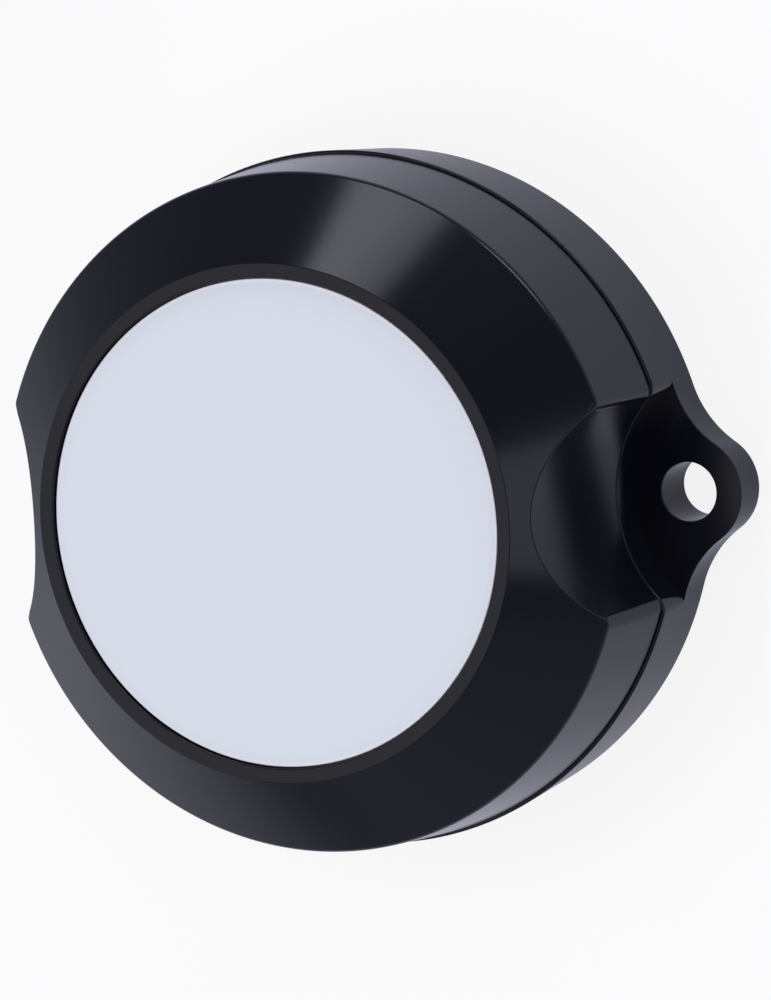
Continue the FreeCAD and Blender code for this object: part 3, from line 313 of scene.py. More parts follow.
class Skin:
    """Collects patches, closes them into one surface and makes it an object."""

    def __init__(self, name: str) -> None:
        """Starts an empty skin with the name of its piece."""
        self.name = name
        self.patches: list[Patch] = []

    def add(self, *patches: Patch) -> None:
        """Adds patches as they are."""
        self.patches.extend(patches)

    def add_quarter(self, *patches: Patch) -> None:
        """Adds patches in all four quarters, mirrored in x and in y.

        Args:
            patches: surfaces of the quarter where x and y are positive.
        """
        for across, along in ((1, 1), (-1, 1), (-1, -1), (1, -1)):
            sign = np.array([across, along, 1.0])
            self.patches.extend(
                Patch(patch.points * sign, patch.normals * sign, patch.faces)
                for patch in patches)

    def build(self) -> bpy.types.Object:
        """Merges equal points, drops empty faces, turns the rest outwards and makes a mesh.

        Returns:
            The object, at the origin, in metres.
        """
        points = np.concatenate([patch.points for patch in self.patches])
        normals = np.concatenate([patch.normals for patch in self.patches])
        offsets = np.cumsum([0] + [len(patch.points) for patch in self.patches[:-1]])
        faces = np.concatenate(
            [patch.faces + offset for patch, offset in zip(self.patches, offsets)])
        keys = np.round(points / 1e-4).astype(np.int64)
        _, first, same = np.unique(keys, axis=0, return_index=True, return_inverse=True)
        points = points[first]
        corners = same.reshape(-1)[faces]
        kept = corners != np.roll(corners, -1, axis=1)
        folded = (corners[:, 0] == corners[:, 2]) | (corners[:, 1] == corners[:, 3])
        real = (kept.sum(axis=1) >= 3) & (~folded | (kept.sum(axis=1) == 3))
        faces, corners, kept = faces[real], corners[real], kept[real]
        spots = points[corners]
        facing = np.cross(spots[:, 2] - spots[:, 0], spots[:, 3] - spots[:, 1])
        wrong = (facing * normals[faces].sum(axis=1)).sum(axis=1) < 0
        for table in (faces, corners, kept):
            table[wrong] = table[wrong][:, ::-1]
        four = kept.all(axis=1)
        quads = corners[four]
        triangles = corners[~four][kept[~four]].reshape(-1, 3)
        shading = np.concatenate(
            [normals[faces[four]].reshape(-1, 3), normals[faces[~four][kept[~four]]]])
        mesh = bpy.data.meshes.new(self.name)
        mesh.from_pydata(points * MM, [], quads.tolist() + triangles.tolist())
        mesh.polygons.foreach_set("use_smooth", np.ones(len(mesh.polygons), bool))
        mesh.normals_split_custom_set(unit(shading).tolist())
        mesh.update()
        sides = np.concatenate(
            [quads[:, [0, 1]], quads[:, [1, 2]], quads[:, [2, 3]], quads[:, [3, 0]],
             triangles[:, [0, 1]], triangles[:, [1, 2]], triangles[:, [2, 0]]])
        _, uses = np.unique(np.sort(sides, axis=1), axis=0, return_counts=True)
        report.info("%s: %d points, %d faces, %d open or doubled edges",
                    self.name, len(points), len(mesh.polygons), int((uses != 2).sum()))
        return add_object(self.name, mesh)


# Finishes


class Slot(Enum):
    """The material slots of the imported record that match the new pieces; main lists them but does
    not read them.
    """

    HOUSING = "housing_plastic"
    LABEL = "label_film"
    SCREW = "screw_steel"


def linear(colour: str) -> tuple[float, float, float, float]:
    """Turns an sRGB hex colour into linear light.

    Args:
        colour: six hex digits after a hash.

    Returns:
        Red, green, blue and an alpha of one.
    """
    parts = np.array([int(colour[place:place + 2], 16) for place in (1, 3, 5)]) / 255
    light = np.where(parts <= 0.04045, parts / 12.92, ((parts + 0.055) / 1.055) ** 2.4)
    return (*light.tolist(), 1.0)


def add_node(tree: bpy.types.NodeTree, kind: str, settings: dict[Any, Any] | None = None,
             links: dict[Any, bpy.types.NodeSocket] | None = None) -> bpy.types.Node:
    """Adds one node to a tree.

    Args:
        tree: the node tree.
        kind: the node's Blender type, without the ShaderNode before it.
        settings: values by property name, or by the name or number of an input.
        links: output sockets by the name or number of the input that they feed.

    Returns:
        The node.
    """
    node = tree.nodes.new("ShaderNode" + kind)
    for key, value in (settings or {}).items():
        if isinstance(key, str) and hasattr(node, key):
            setattr(node, key, value)
        else:
            node.inputs[key].default_value = value
    for key, socket in (links or {}).items():
        tree.links.new(socket, node.inputs[key])
    return node


def mix_colours(tree: bpy.types.NodeTree, share: bpy.types.NodeSocket, first: str,
                second: str) -> bpy.types.NodeSocket:
    """Mixes two colours.

    Args:
        tree: the node tree.
        share: how much of the second one shows.
        first: its sRGB hex digits.
        second: those of the other one.

    Returns:
        The mixed colour.
    """
    return add_node(tree, "Mix", {"data_type": "RGBA", 6: linear(first), 7: linear(second)},
                    {0: share}).outputs[2]


def clear_tree(owner: bpy.types.Material | bpy.types.World) -> bpy.types.NodeTree:
    """Turns on the nodes of a material or world and empties its tree.

    Args:
        owner: the material or world.

    Returns:
        The empty tree.
    """
    owner.use_nodes = True
    owner.node_tree.nodes.clear()
    return owner.node_tree


@dataclass(frozen=True)
class Finish:
    """What all finishes share: two shades, a mottle that mixes them, and a fine grain."""

    name: str
    shade: str
    second_shade: str
    roughness: float
    roughness_spread: float = 0.05
    metallic: float = 0.0
    ior: float = 1.5
    mottle_mm: float = 6.0
    grain_mm: float = 0.3
    grain_depth_mm: float = 0.004

    def sockets(self) -> dict[str, Any]:
        """Returns further values for the shader's own sockets."""
        return {}

    def pattern(self, tree: bpy.types.NodeTree, place: bpy.types.NodeSocket
                ) -> tuple[bpy.types.NodeSocket, bpy.types.NodeSocket]:
        """Makes the mottle and the grain.

        Args:
            tree: the node tree.
            place: object coordinates.

        Returns:
            How much of the second shade shows, and the height of the grain.
        """
        mottle = add_node(tree, "TexNoise",
                          {"Scale": 1 / (self.mottle_mm * MM), "Detail": 3.0},
                          {"Vector": place})
        grain = add_node(tree, "TexNoise",
                         {"Scale": 1 / (self.grain_mm * MM), "Detail": 2.0},
                         {"Vector": place})
        return mottle.outputs["Fac"], grain.outputs["Fac"]

    def material(self) -> bpy.types.Material:
        """Builds the material from its pattern.

        Returns:
            The material.
        """
        material = bpy.data.materials.new(self.name)
        tree = clear_tree(material)
        place = add_node(tree, "TexCoord").outputs["Object"]
        share, height = self.pattern(tree, place)
        colour = mix_colours(tree, share, self.shade, self.second_shade)
        gloss = add_node(tree, "MapRange",
                         {"To Min": self.roughness - self.roughness_spread,
                          "To Max": self.roughness + self.roughness_spread},
                         {"Value": share})
        bump = add_node(tree, "Bump",
                        {"Strength": 1.0, "Distance": self.grain_depth_mm * MM},
                        {"Height": height})
        values: dict[str, Any] = {"Metallic": self.metallic}
        if self.metallic == 0.0:
            values["IOR"] = self.ior
        values.update(self.sockets())
        shader = add_node(tree, "BsdfPrincipled", values,
                          {"Base Color": colour,
                           "Roughness": gloss.outputs["Result"],
                           "Normal": bump.outputs["Normal"]})
        add_node(tree, "OutputMaterial", None, {"Surface": shader.outputs[0]})
        return material


@dataclass(frozen=True)
class MouldedPlastic(Finish):
    """ABS moulded in a lightly blasted mould: satin, near black, with a hint of blue."""

    name: str = "abs_moulded_satin_black"
    shade: str = "#060811"
    second_shade: str = "#090a15"
    roughness: float = 0.19
    roughness_spread: float = 0.02
    mottle_mm: float = 9.0
    grain_mm: float = 0.25
    grain_depth_mm: float = 0.0015

    def sockets(self) -> dict[str, Any]:
        """Returns a lower specular level: the blasted skin scatters part of its gloss."""
        return {"Specular IOR Level": 0.2}


@dataclass(frozen=True)
class PrintedFilm(Finish):
    """Polyester label film printed bluish white: smooth, with a paler, warmer ring at its edge,
    partly the cut edge's own tone and partly a painted highlight.
    """

    name: str = "polyester_film_printed"
    shade: str = "#dbe3e7"
    # Also the colour of the edge ring: paler cut edge and painted highlight of the rounded edge.
    second_shade: str = "#f1f1f5"
    roughness: float = 0.45
    mottle_mm: float = 14.0
    grain_mm: float = 0.4
    grain_depth_mm: float = 0.0006
    pale_edge_and_highlight_start_mm: float = 17.6
    pale_edge_and_highlight_end_mm: float = 17.9

    def pattern(self, tree: bpy.types.NodeTree, place: bpy.types.NodeSocket
                ) -> tuple[bpy.types.NodeSocket, bpy.types.NodeSocket]:
        """Keeps a tenth of the mottle and adds the edge ring, partly pale cut edge and partly
        painted highlight, by distance from the axis.

        Args:
            tree: the node tree.
            place: object coordinates.

        Returns:
            How much of the second shade shows, and the height of the grain.
        """
        mottle, grain = super().pattern(tree, place)
        level = add_node(tree, "VectorMath",
                         {"operation": "MULTIPLY", 1: (1.0, 1.0, 0.0)}, {0: place})
        away = add_node(tree, "VectorMath", {"operation": "LENGTH"},
                        {0: level.outputs["Vector"]})
        # Ring at the edge: partly the cut edge's own paler tone, partly a painted highlight of the
        # light that the rounded edge catches.
        ring = add_node(tree, "MapRange",
                        {"From Min": self.pale_edge_and_highlight_start_mm * MM,
                         "From Max": self.pale_edge_and_highlight_end_mm * MM}, {"Value": away.outputs["Value"]})
        share = add_node(tree, "Math",
                         {"operation": "MULTIPLY_ADD", "use_clamp": True, 1: 0.1},
                         {0: mottle, 2: ring.outputs["Result"]})
        return share.outputs["Value"], grain


class Metal(Enum):
    """The metals inside, each with its two shades and roughness."""

    SCREW = ("steel_turned_stainless", "#b8b7b3", "#a5a4a1", 0.28, 0.3)
    CELL = ("steel_drawn_nickel_plated", "#c2c1bc", "#b2b1ad", 0.25, 0.6)
    TAB = ("nickel_rolled_strip", "#cdc7b8", "#bdb8aa", 0.32, 0.5)
    LID = ("kovar_pressed_plated", "#c9c4ae", "#bcb7a2", 0.3, 0.4)
    CAN = ("aluminium_drawn_bright", "#d2d3d6", "#c4c5c9", 0.22, 0.5)
    LEAD = ("nickel_iron_tinned_wire", "#cfcdc4", "#c0beb6", 0.2, 0.3)

    def finish(self) -> Finish:
        """Returns the finish of this metal."""
        name, shade, second, roughness, grain = self.value
        return Finish(name, shade, second, roughness, roughness_spread=0.06, metallic=1.0,
                      mottle_mm=3.0, grain_mm=grain, grain_depth_mm=0.002)


class Insulator(Enum):
    """The plastics, ceramics and rubber inside, each with two shades and roughness."""

    RUBBER = ("silicone_moulded_ring", "#8a3a26", "#7c3020", 0.6, 0.3, 0.006)
    LAMINATE = ("glass_laminate_solder_mask", "#14532f", "#1b6339", 0.38, 0.6, 0.01)
    AMBER = ("polyimide_film_cut", "#a4621a", "#93560f", 0.3, 0.5, 0.002)
    FOAM = ("polyurethane_foam_closed_cell", "#3b3b3e", "#2c2c2f", 0.9, 0.5, 0.12)
    NYLON = ("nylon_moulded_natural", "#dcdacf", "#cfcdc2", 0.5, 0.3, 0.003)
    RESIN = ("epoxy_resin_moulded_chip", "#1b1b1c", "#262627", 0.55, 0.15, 0.006)
    ANTENNA = ("ceramic_fired_white", "#e4e4de", "#d8d8d1", 0.35, 0.2, 0.002)
    INDUCTOR = ("ferrite_fired_blue_grey", "#5c6a7a", "#6d7b8a", 0.45, 0.2, 0.002)
    CAPACITOR = ("titanate_ceramic_fired_tan", "#a98763", "#9a7853", 0.45, 0.2, 0.002)
    RESISTOR = ("alumina_coated_black", "#191919", "#232323", 0.4, 0.2, 0.002)

    def finish(self) -> Finish:
        """Returns the finish of this insulator."""
        name, shade, second, roughness, grain, depth = self.value
        return Finish(name, shade, second, roughness, roughness_spread=0.06,
                      mottle_mm=2.5, grain_mm=grain, grain_depth_mm=depth)


@dataclass(frozen=True)
class TubeGlass(Finish):
    """Drawn soda glass with iron for the sealing lamp: clear, with a green cast."""

    name: str = "soda_glass_drawn_green"
    shade: str = "#b6d6bd"
    second_shade: str = "#a5c9ae"
    roughness: float = 0.06
    roughness_spread: float = 0.02
    ior: float = 1.52
    grain_depth_mm: float = 0.001

    def sockets(self) -> dict[str, Any]:
        """Returns the share of light that passes through."""
        return {"Transmission Weight": 0.85}


def dress(item: bpy.types.Object, material: bpy.types.Material) -> None:
    """Gives an object one material in its only slot."""
    item.data.materials.clear()
    item.data.materials.append(material)


def place_piece(item: bpy.types.Object, node: str) -> None:
    """Makes a new piece ride on the body and stand for its solid, which is hidden.

    Args:
        item: the new piece.
        node: the solid that it replaces.
    """
    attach(item, "root")
    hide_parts(node)


# Housing


@dataclass(frozen=True)
class HousingLines:
    """Lines that both halves of the housing share."""

    seam_radius: float = 25.6
    lip_radius: float = 25.83
    back_radius: float = 25.1
    seam_height: float = 8.1
    scoop_axis: float = 31.6
    scoop_radius: float = 10.6
    scoop_slope: float = 0.77 / 14.15
    screw_place: float = 15.54
    boss_radius: float = 2.6
    core_radius: float = 20.5
    core_start: float = math.radians(28)

    def scoop_at(self, height: Array | float) -> Array | float:
        """Returns the radius of the scoop at a height."""
        return self.scoop_radius + self.scoop_slope * (height - self.seam_height)

    def core_paths(self, outer: float) -> list[Array]:
        """Works out the cored spaces of one quarter, one on each side of the screw boss.

        On a circle of radius r about the puck's axis, the boss reaches an angle to either
        side of its own direction whose cosine is (r^2 + d^2 - b^2) / 2rd, where d is the
        distance of the boss and b its radius.

        Args:
            outer: the outer radius of the spaces.

        Returns:
            A closed path, and an open one whose ends lie in the plane between the quarters.
        """
        radii = np.linspace(self.core_radius, outer, 7)
        away = self.screw_place * math.sqrt(2)
        reach = np.arccos((radii ** 2 + away ** 2 - self.boss_radius ** 2) / (2 * radii * away))
        steps = np.linspace(0, 1, 9)
        middle = QUARTER / 2
        low_out = self.core_start + (middle - reach[-1] - self.core_start) * steps
        low_in = middle - reach[0] + (self.core_start - middle + reach[0]) * steps
        high_in = QUARTER + (middle + reach[0] - QUARTER) * steps
        high_out = middle + reach[-1] + (QUARTER - middle - reach[-1]) * steps
        ring_out, ring_in = np.full(9, outer), np.full(9, self.core_radius)
        low = (np.concatenate([ring_out, radii[-2:0:-1], ring_in, [outer]]),
               np.concatenate([low_out, (middle - reach)[-2:0:-1], low_in, low_out[:1]]))
        high = (np.concatenate([ring_in, radii[1:-1], ring_out]),
                np.concatenate([high_in, (middle + reach)[1:-1], high_out]))
        return [polar(angle, size) for size, angle in (low, high)]


@dataclass
class FrontShell:
    """Upper half of the housing: recess, rim, bevel, wall with scoops, and bore."""

    lines: HousingLines
    overall_height: float = 22.25
    face_radius: float = 19.1
    recess_radius: float = 18.05
    recess_floor: float = 21.7
    edge_radius: float = 25.15
    bevel_foot: float = 16.4
    edge_rounding: float = 0.7
    rim_rounding: float = 0.15
    recess_rounding: float = 0.12
    foot_rounding: float = 0.04
    gap_margin: float = 0.05
    gap_fade: float = 1.5
    bevel_start: float = 0.75
    relief_foot: float = 8.14
    relief_radius: float = 25.4
    bore_radius: float = 18.8
    ceiling: float = 19.7
    wall_thickness: float = 2.0
    roof_thickness: float = 2.6
    pilot_radius: float = 0.85
    pilot_top: float = 14.6
    scoop_corner: float = 1.2
    scoop_edge: float = 0.2
    corner_end: float = 15.7
    edge_start: float = 17.2
    columns: int = 56
    corner_columns: int = 6
    scoop_columns: int = 18

    def ball(self, height: Array) -> Array:
        """Returns the rounding between outside and scoop: large on the wall, small on the bevel."""
        share = ease(height, self.corner_end, self.edge_start)
        return self.scoop_corner + (self.scoop_edge - self.scoop_corner) * share

    def apex(self) -> float:
        """Returns the height on the bevel where the scoop's rounded edge ends.

        There the ball that rolls along the edge lies on the plane between the quarters:
        its distance from the puck's axis plus its distance from the scoop's axis is the
        distance of the two axes.

        Returns:
            The height.
        """
        slope = (self.edge_radius - self.face_radius) / (self.overall_height - self.bevel_foot)
        out, up = unit(np.array([1.0, slope]))
        ball, lines = self.scoop_edge, self.lines
        fixed = (self.face_radius + slope * self.overall_height - ball * out
                 + lines.scoop_radius + ball
                 - lines.scoop_slope * (ball * up + lines.seam_height))
        return float((fixed - lines.scoop_axis) / (slope - lines.scoop_slope))

    def bevel_radius(self, height: float) -> float:
        """Returns the radius of the bevel at a height."""
        share = (height - self.bevel_foot) / (self.overall_height - self.bevel_foot)
        return self.edge_radius + (self.face_radius - self.edge_radius) * share

    def wall_radius(self, height: Array | float) -> Array | float:
        """Returns the radius of the drafted wall at a height."""
        share = (height - self.lines.seam_height) / (self.bevel_foot - self.lines.seam_height)
        return self.lines.seam_radius + (self.edge_radius - self.lines.seam_radius) * share

    def cut_rows(self) -> Array:
        """Walks the profile that the scoops cut, with heights that crowd near the apex.

        Returns:
            The profile's rows, from the seam up to the apex.
        """
        apex = self.apex()
        start = self.bevel_foot + self.bevel_start
        heights = apex - (apex - start) * (1 - np.linspace(0, 1, 26)) ** 2
        wall = np.linspace(self.relief_foot, self.bevel_foot, 9)[1:-1]
        turns = [Turn(self.relief_radius, self.lines.seam_height),
                 Turn(self.relief_radius, self.relief_foot),
                 Turn(self.wall_radius(self.relief_foot), self.relief_foot, self.foot_rounding)]
        turns += [Turn(self.wall_radius(height), height) for height in wall]
        turns += [Turn(self.edge_radius, self.bevel_foot, self.edge_rounding)]
        turns += [Turn(self.bevel_radius(height), height) for height in heights]
        return profile(turns, 10)

    def cut_grid(self, rows: Array) -> tuple[Array, Array]:
        """Works out the outside with the scoop cut into it.

        Each row has three parts. The first follows the profile round the puck down to an
        angle. The second is an arc of the ball that touches the outside and the scoop: its
        middle lies one ball radius inside the profile, at the angle where two circles meet.
        The third follows the scoop to the plane y = 0. The shadow gap at the foot runs out
        just before the arc: over the last 1.5 degrees its radius grows to the wall's.

        Args:
            rows: the profile's rows.

        Returns:
            Points and normals, rows x columns x 3.
        """
        lines = self.lines
        radius, height, out, up = rows.T[..., None]
        ball = self.ball(height)
        tall = up > 0
        lean_out, lean_up = np.where(tall, out, 1.0), np.where(tall, up, 0.0)
        gap = height < self.relief_foot + self.gap_margin
        outside = np.where(gap, self.wall_radius(height), radius)
        ring, level = outside - ball * lean_out, height - ball * lean_up
        reach = lines.scoop_at(level) + ball
        cosine = (lines.scoop_axis ** 2 + ring ** 2 - reach ** 2) / (2 * lines.scoop_axis * ring)
        limit = np.arccos(np.clip(cosine, -1, 1))
        share = np.linspace(0, 1, self.columns + 1)[None]
        angle = limit + (QUARTER - limit) * (1 - share)
        turn = polar(angle)
        fade = ease(np.degrees(angle - limit), 0.0, self.gap_fade)
        closed = np.where(gap, 1 - fade, 0.0)[..., None]
        size = radius[..., None] + (outside - radius)[..., None] * closed
        points = [np.concatenate([size * turn,
                                  np.broadcast_to(height, angle.shape)[..., None]], axis=-1)]
        out_part = out[..., None] + (1 - out)[..., None] * closed
        normals = [unit(np.concatenate([out_part * turn, up[..., None] * (1 - closed)],
                                       axis=-1))]
        middle, first, shown = (
            np.concatenate([polar(limit, size), rise[..., None]], axis=-1)
            for size, rise in ((ring, level), (lean_out, lean_up), (out, up)))
        towards = unit(np.array([lines.scoop_axis, 0.0]) - middle[..., :2])
        lean = math.atan(lines.scoop_slope)
        last = np.concatenate([towards * math.cos(lean),
                               np.full_like(level, math.sin(lean))[..., None]], axis=-1)
        contact = np.concatenate([towards, np.zeros_like(level)[..., None]], axis=-1)
        contact = np.where(gap[..., None], contact, last)
        part = np.linspace(0, 1, self.corner_columns + 1)[None, 1:, None]
        points.append(middle + ball[..., None] * between(first, contact, part))
        normals.append(between(np.where(gap[..., None], first, shown), last, part))
        touch = (middle + ball[..., None] * contact)[:, 0]
        sweep = np.arctan2(touch[:, 1], lines.scoop_axis - touch[:, 0])[:, None]
        angle = sweep * (1 - np.linspace(0, 1, self.scoop_columns + 1)[None, 1:])
        top = np.broadcast_to(touch[:, 2:], angle.shape)
        size = lines.scoop_at(top)
        points.append(np.stack([lines.scoop_axis - size * np.cos(angle),
                                size * np.sin(angle), top], axis=-1))
        normals.append(np.stack([math.cos(lean) * np.cos(angle),
                                 -math.cos(lean) * np.sin(angle),
                                 np.full_like(angle, math.sin(lean))], axis=-1))
        return np.concatenate(points, axis=1), np.concatenate(normals, axis=1)

    def build(self) -> bpy.types.Object:
        """Builds the shell as one closed surface.

        Returns:
            The object.
        """
        skin = Skin("front_shell_skin")
        rows = self.cut_rows()
        points, normals = self.cut_grid(rows)
        skin.add_quarter(grid(points, normals))
        apex = rows[-1]
        top = profile([Turn(apex[0], apex[1]),
                       Turn(self.face_radius, self.overall_height, self.rim_rounding),
                       Turn(self.recess_radius, self.overall_height, self.recess_rounding),
                       Turn(self.recess_radius, self.recess_floor),
                       Turn(0.0, self.recess_floor)])
        angles = QUARTER * (1 - np.linspace(0, 1, self.columns + 1))
        skin.add_quarter(lathe(top, angles))
        inside = profile([Turn(0.0, self.ceiling), Turn(self.bore_radius, self.ceiling),
                          Turn(self.bore_radius, self.lines.seam_height)])
        skin.add_quarter(lathe(inside, angles))
        inner = polar(angles[::-1], self.bore_radius)
        outline = np.concatenate([points[0, :, :2], inner])
        seam = self.lines.seam_height
        cores = self.lines.core_paths(self.lines.seam_radius - self.wall_thickness)
        roofs = self.lines.core_paths(self.edge_radius - self.wall_thickness)
        hole = circle(self.pilot_radius, self.lines.screw_place, self.lines.screw_place)
        skin.add_quarter(flat([outline, cores[0][:-1], cores[1], hole], seam, False))
        for core, roof in zip(cores, roofs):
            away = np.linalg.norm(roof, axis=1)
            share = (away - self.face_radius) / (self.edge_radius - self.face_radius)
            level = (self.overall_height - self.roof_thickness
                     - share * (self.overall_height - self.bevel_foot))
            skin.add_quarter(*cored(core, roof, seam, level, False))
        hole = np.concatenate([hole, hole[:1]])
        skin.add_quarter(walls(raised(hole, seam), raised(hole, self.pilot_top), True),
                         flat([hole[:-1]], self.pilot_top, False))
        return skin.build()


@dataclass
class RearBase:
    """Lower half of the housing: back face, ears, pockets, collar and chamber."""

    lines: HousingLines
    ear_thickness: float = 4.05
    ear_place: float = 25.0
    ear_radius: float = 3.86
    blend_radius: float = 8.0
    hole_radius: float = 2.2
    pocket_radius: float = 10.5
    pocket_foot_radius: float = 10.8
    pocket_corner: float = 1.3
    pocket_foot_corner: float = 0.6
    edge: float = 0.08
    lip_edge: float = 0.18
    collar_radius: float = 18.65
    collar_top: float = 12.0
    chamber_radius: float = 16.9
    floor: float = 2.0
    groove_radius: float = 17.55
    groove_foot: float = 9.15
    groove_top: float = 10.95
    cradle_outer: float = 13.5
    cradle_inner: float = 12.5
    cradle_top: float = 7.0
    cradle_edge: float = 0.15
    collar_edge: float = 0.2
    counterbore_radius: float = 2.1
    counterbore_depth: float = 2.6
    counterbore_edge: float = 0.1
    bore_radius: float = 1.2
    post_circle: float = 15.2
    post_radius: float = 2.2
    post_pilot_radius: float = 0.7
    post_pilot_foot: float = 6.0
    post_edge: float = 0.2
    post_gap: float = 0.02
    sink: float = 0.1
    wall_thickness: float = 2.0
    columns: int = 56

    def wall_radius(self, height: Array | float) -> Array | float:
        """Returns the radius of the drafted wall at a height."""
        lines = self.lines
        slope = (lines.lip_radius - lines.back_radius) / lines.seam_height
        return lines.back_radius + slope * height

    def pocket_at(self, height: Array | float) -> tuple[Array | float, Array | float]:
        """Blends both radii evenly from the seam down to the ear.

        Args:
            height: above the back face.

        Returns:
            The radius of the pocket and that of its rounded corner.
        """
        share = np.clip((self.lines.seam_height - height)
                        / (self.lines.seam_height - self.ear_thickness), 0.0, 1.0)
        return (self.pocket_radius + (self.pocket_foot_radius - self.pocket_radius) * share,
                self.pocket_corner + (self.pocket_foot_corner - self.pocket_corner) * share)

    def corner_angle(self, height: Array | float) -> Array | float:
        """Finds where the pocket's corner leaves the wall.

        The corner's middle is one corner radius inside the wall and one outside the
        pocket, so it lies where those two circles meet.

        Args:
            height: above the back face.

        Returns:
            The angle round the puck's axis.
        """
        pocket, corner = self.pocket_at(height)
        ring = self.wall_radius(height) - corner
        reach = pocket + corner
        axis = self.lines.scoop_axis
        return np.arccos((axis ** 2 + ring ** 2 - reach ** 2) / (2 * axis * ring))

    def blend_middle(self) -> tuple[float, float]:
        """Finds the middle of the hollow arc that touches the wall and the ear's end.

        Returns:
            Its x and y, where the two circles grown by the arc's radius meet.
        """
        far = self.lines.back_radius + self.blend_radius
        near = self.ear_radius + self.blend_radius
        across = (far ** 2 - near ** 2 + self.ear_place ** 2) / (2 * self.ear_place)
        return across, math.sqrt(far ** 2 - across ** 2)

    def ear_outline(self, height: Array) -> tuple[Array, Array]:
        """Works out the outline of the lower part: wall, hollow blend and ear end.

        The wall's circle grows with the height, the blend's circle shrinks and the end's
        grows by as much, so that they keep touching.

        Args:
            height: rows x 1.

        Returns:
            Points and level outward normals, rows x columns x 2.
        """
        growth = self.wall_radius(height) - self.lines.back_radius
        start = self.corner_angle(height)
        middle = self.blend_middle()
        join = math.atan2(middle[1], middle[0])
        lean = math.atan2(middle[1], middle[0] - self.ear_place)
        share = np.linspace(0, 1, self.columns + 1)[None]
        wall = start + (QUARTER - start) * (1 - share)
        short = start + (join - start) * np.linspace(0, 1, 4)[None, 1:]
        wall = np.concatenate([wall, short], axis=1)
        blend = math.pi + join + (lean - join) * np.linspace(0, 1, 15)[None, 1:]
        end = lean * (1 - np.linspace(0, 1, 17)[None, 1:])
        angles = np.concatenate(
            [wall, np.tile(blend, (len(wall), 1)), np.tile(end, (len(wall), 1))], axis=1)
        counts = [wall.shape[1], blend.shape[1], end.shape[1]]
        turn = polar(angles)
        sizes = np.concatenate([np.repeat(self.lines.back_radius + growth, counts[0], axis=1),
                                np.repeat(self.blend_radius - growth, counts[1], axis=1),
                                np.repeat(self.ear_radius + growth, counts[2], axis=1)], axis=1)
        middles = np.repeat([(0.0, 0.0), middle, (self.ear_place, 0.0)], counts, axis=0)
        sides = np.repeat([1.0, -1.0, 1.0], counts)[None, :, None]
        return middles + sizes[..., None] * turn, turn * sides

    def pocket_outline(self, height: Array) -> tuple[Array, Array]:
        """Works out the outline of the upper part: wall, rounded corner and pocket.

        Args:
            height: rows x 1.

        Returns:
            Points and level outward normals, rows x columns x 2.
        """
        axis = self.lines.scoop_axis
        radius = self.wall_radius(height)
        pocket, corner = self.pocket_at(height)
        start = self.corner_angle(height)
        share = np.linspace(0, 1, self.columns + 1)[None]
        wall = start + (QUARTER - start) * (1 - share)
        points, normals = [polar(wall, radius)], [polar(wall)]
        middle = polar(start, radius - corner)
        last = unit(np.array([axis, 0.0]) - middle)
        part = np.linspace(0, 1, 9)[None, 1:, None]
        normals.append(between(polar(start), last, part))
        points.append(middle + corner[..., None] * normals[-1])
        touch = middle + corner[..., None] * last
        sweep = np.arctan2(touch[..., 1], axis - touch[..., 0])
        angle = sweep * (1 - np.linspace(0, 1, 21)[None, 1:])
        normals.append(np.stack([np.cos(angle), -np.sin(angle)], axis=-1))
        points.append(np.array([axis, 0.0]) - pocket[..., None] * normals[-1])
        return np.concatenate(points, axis=1), np.concatenate(normals, axis=1)

    def lower_band(self) -> Patch:
        """Builds the side from the back face to the ear's top, both edges rounded.

        The upper rounding fades out where the ear joins the wall above it.

        Returns:
            The patch.
        """
        arc = np.linspace(0, QUARTER, 6)
        rows = len(arc) * 2
        sample, _ = self.ear_outline(np.zeros((1, 1)))
        count = sample.shape[1]
        place = np.clip((np.arange(count) - self.columns) / 8, 0, 1)
        top_edge = self.edge * ease(place, 0.0, 1.0)
        inset, level, out, up = np.zeros((4, rows, count))
        bottom = slice(0, len(arc))
        upper = slice(len(arc), rows)
        inset[bottom] = self.edge * (1 - np.sin(arc))[:, None]
        level[bottom] = self.edge * (1 - np.cos(arc))[:, None]
        out[bottom], up[bottom] = np.sin(arc)[:, None], -np.cos(arc)[:, None]
        inset[upper] = top_edge * (1 - np.cos(arc))[:, None]
        level[upper] = self.ear_thickness - top_edge * (1 - np.sin(arc))[:, None]
        out[upper], up[upper] = np.cos(arc)[:, None], np.sin(arc)[:, None]
        plain = top_edge == 0
        out[upper, plain], up[upper, plain] = 1.0, 0.0
        heights = level.mean(axis=1, keepdims=True)
        spots, sides = self.ear_outline(heights)
        return band(spots, sides, inset, level, out, up)

    def upper_band(self) -> Patch:
        """Builds the side from the ear's top to the seam.

        Its upper edge is the rounded lip that stands out beyond the shell, on the wall as
        in the pocket.

        Returns:
            The patch.
        """
        arc = np.linspace(0, QUARTER, 7)[:, None]
        seam = self.lines.seam_height
        rows = np.concatenate([np.linspace(self.ear_thickness, seam - self.lip_edge, 7)[:, None],
                               seam - self.lip_edge * (1 - np.sin(arc[1:]))])
        spots, sides = self.pocket_outline(rows)
        shape = spots.shape[:2]
        level = np.broadcast_to(rows, shape)
        inset, out, up = np.zeros(shape), np.ones(shape), np.zeros(shape)
        inset[6:] = self.lip_edge * (1 - np.cos(arc))
        out[6:], up[6:] = np.cos(arc), np.sin(arc)
        return band(spots, sides, inset, level, out, up)

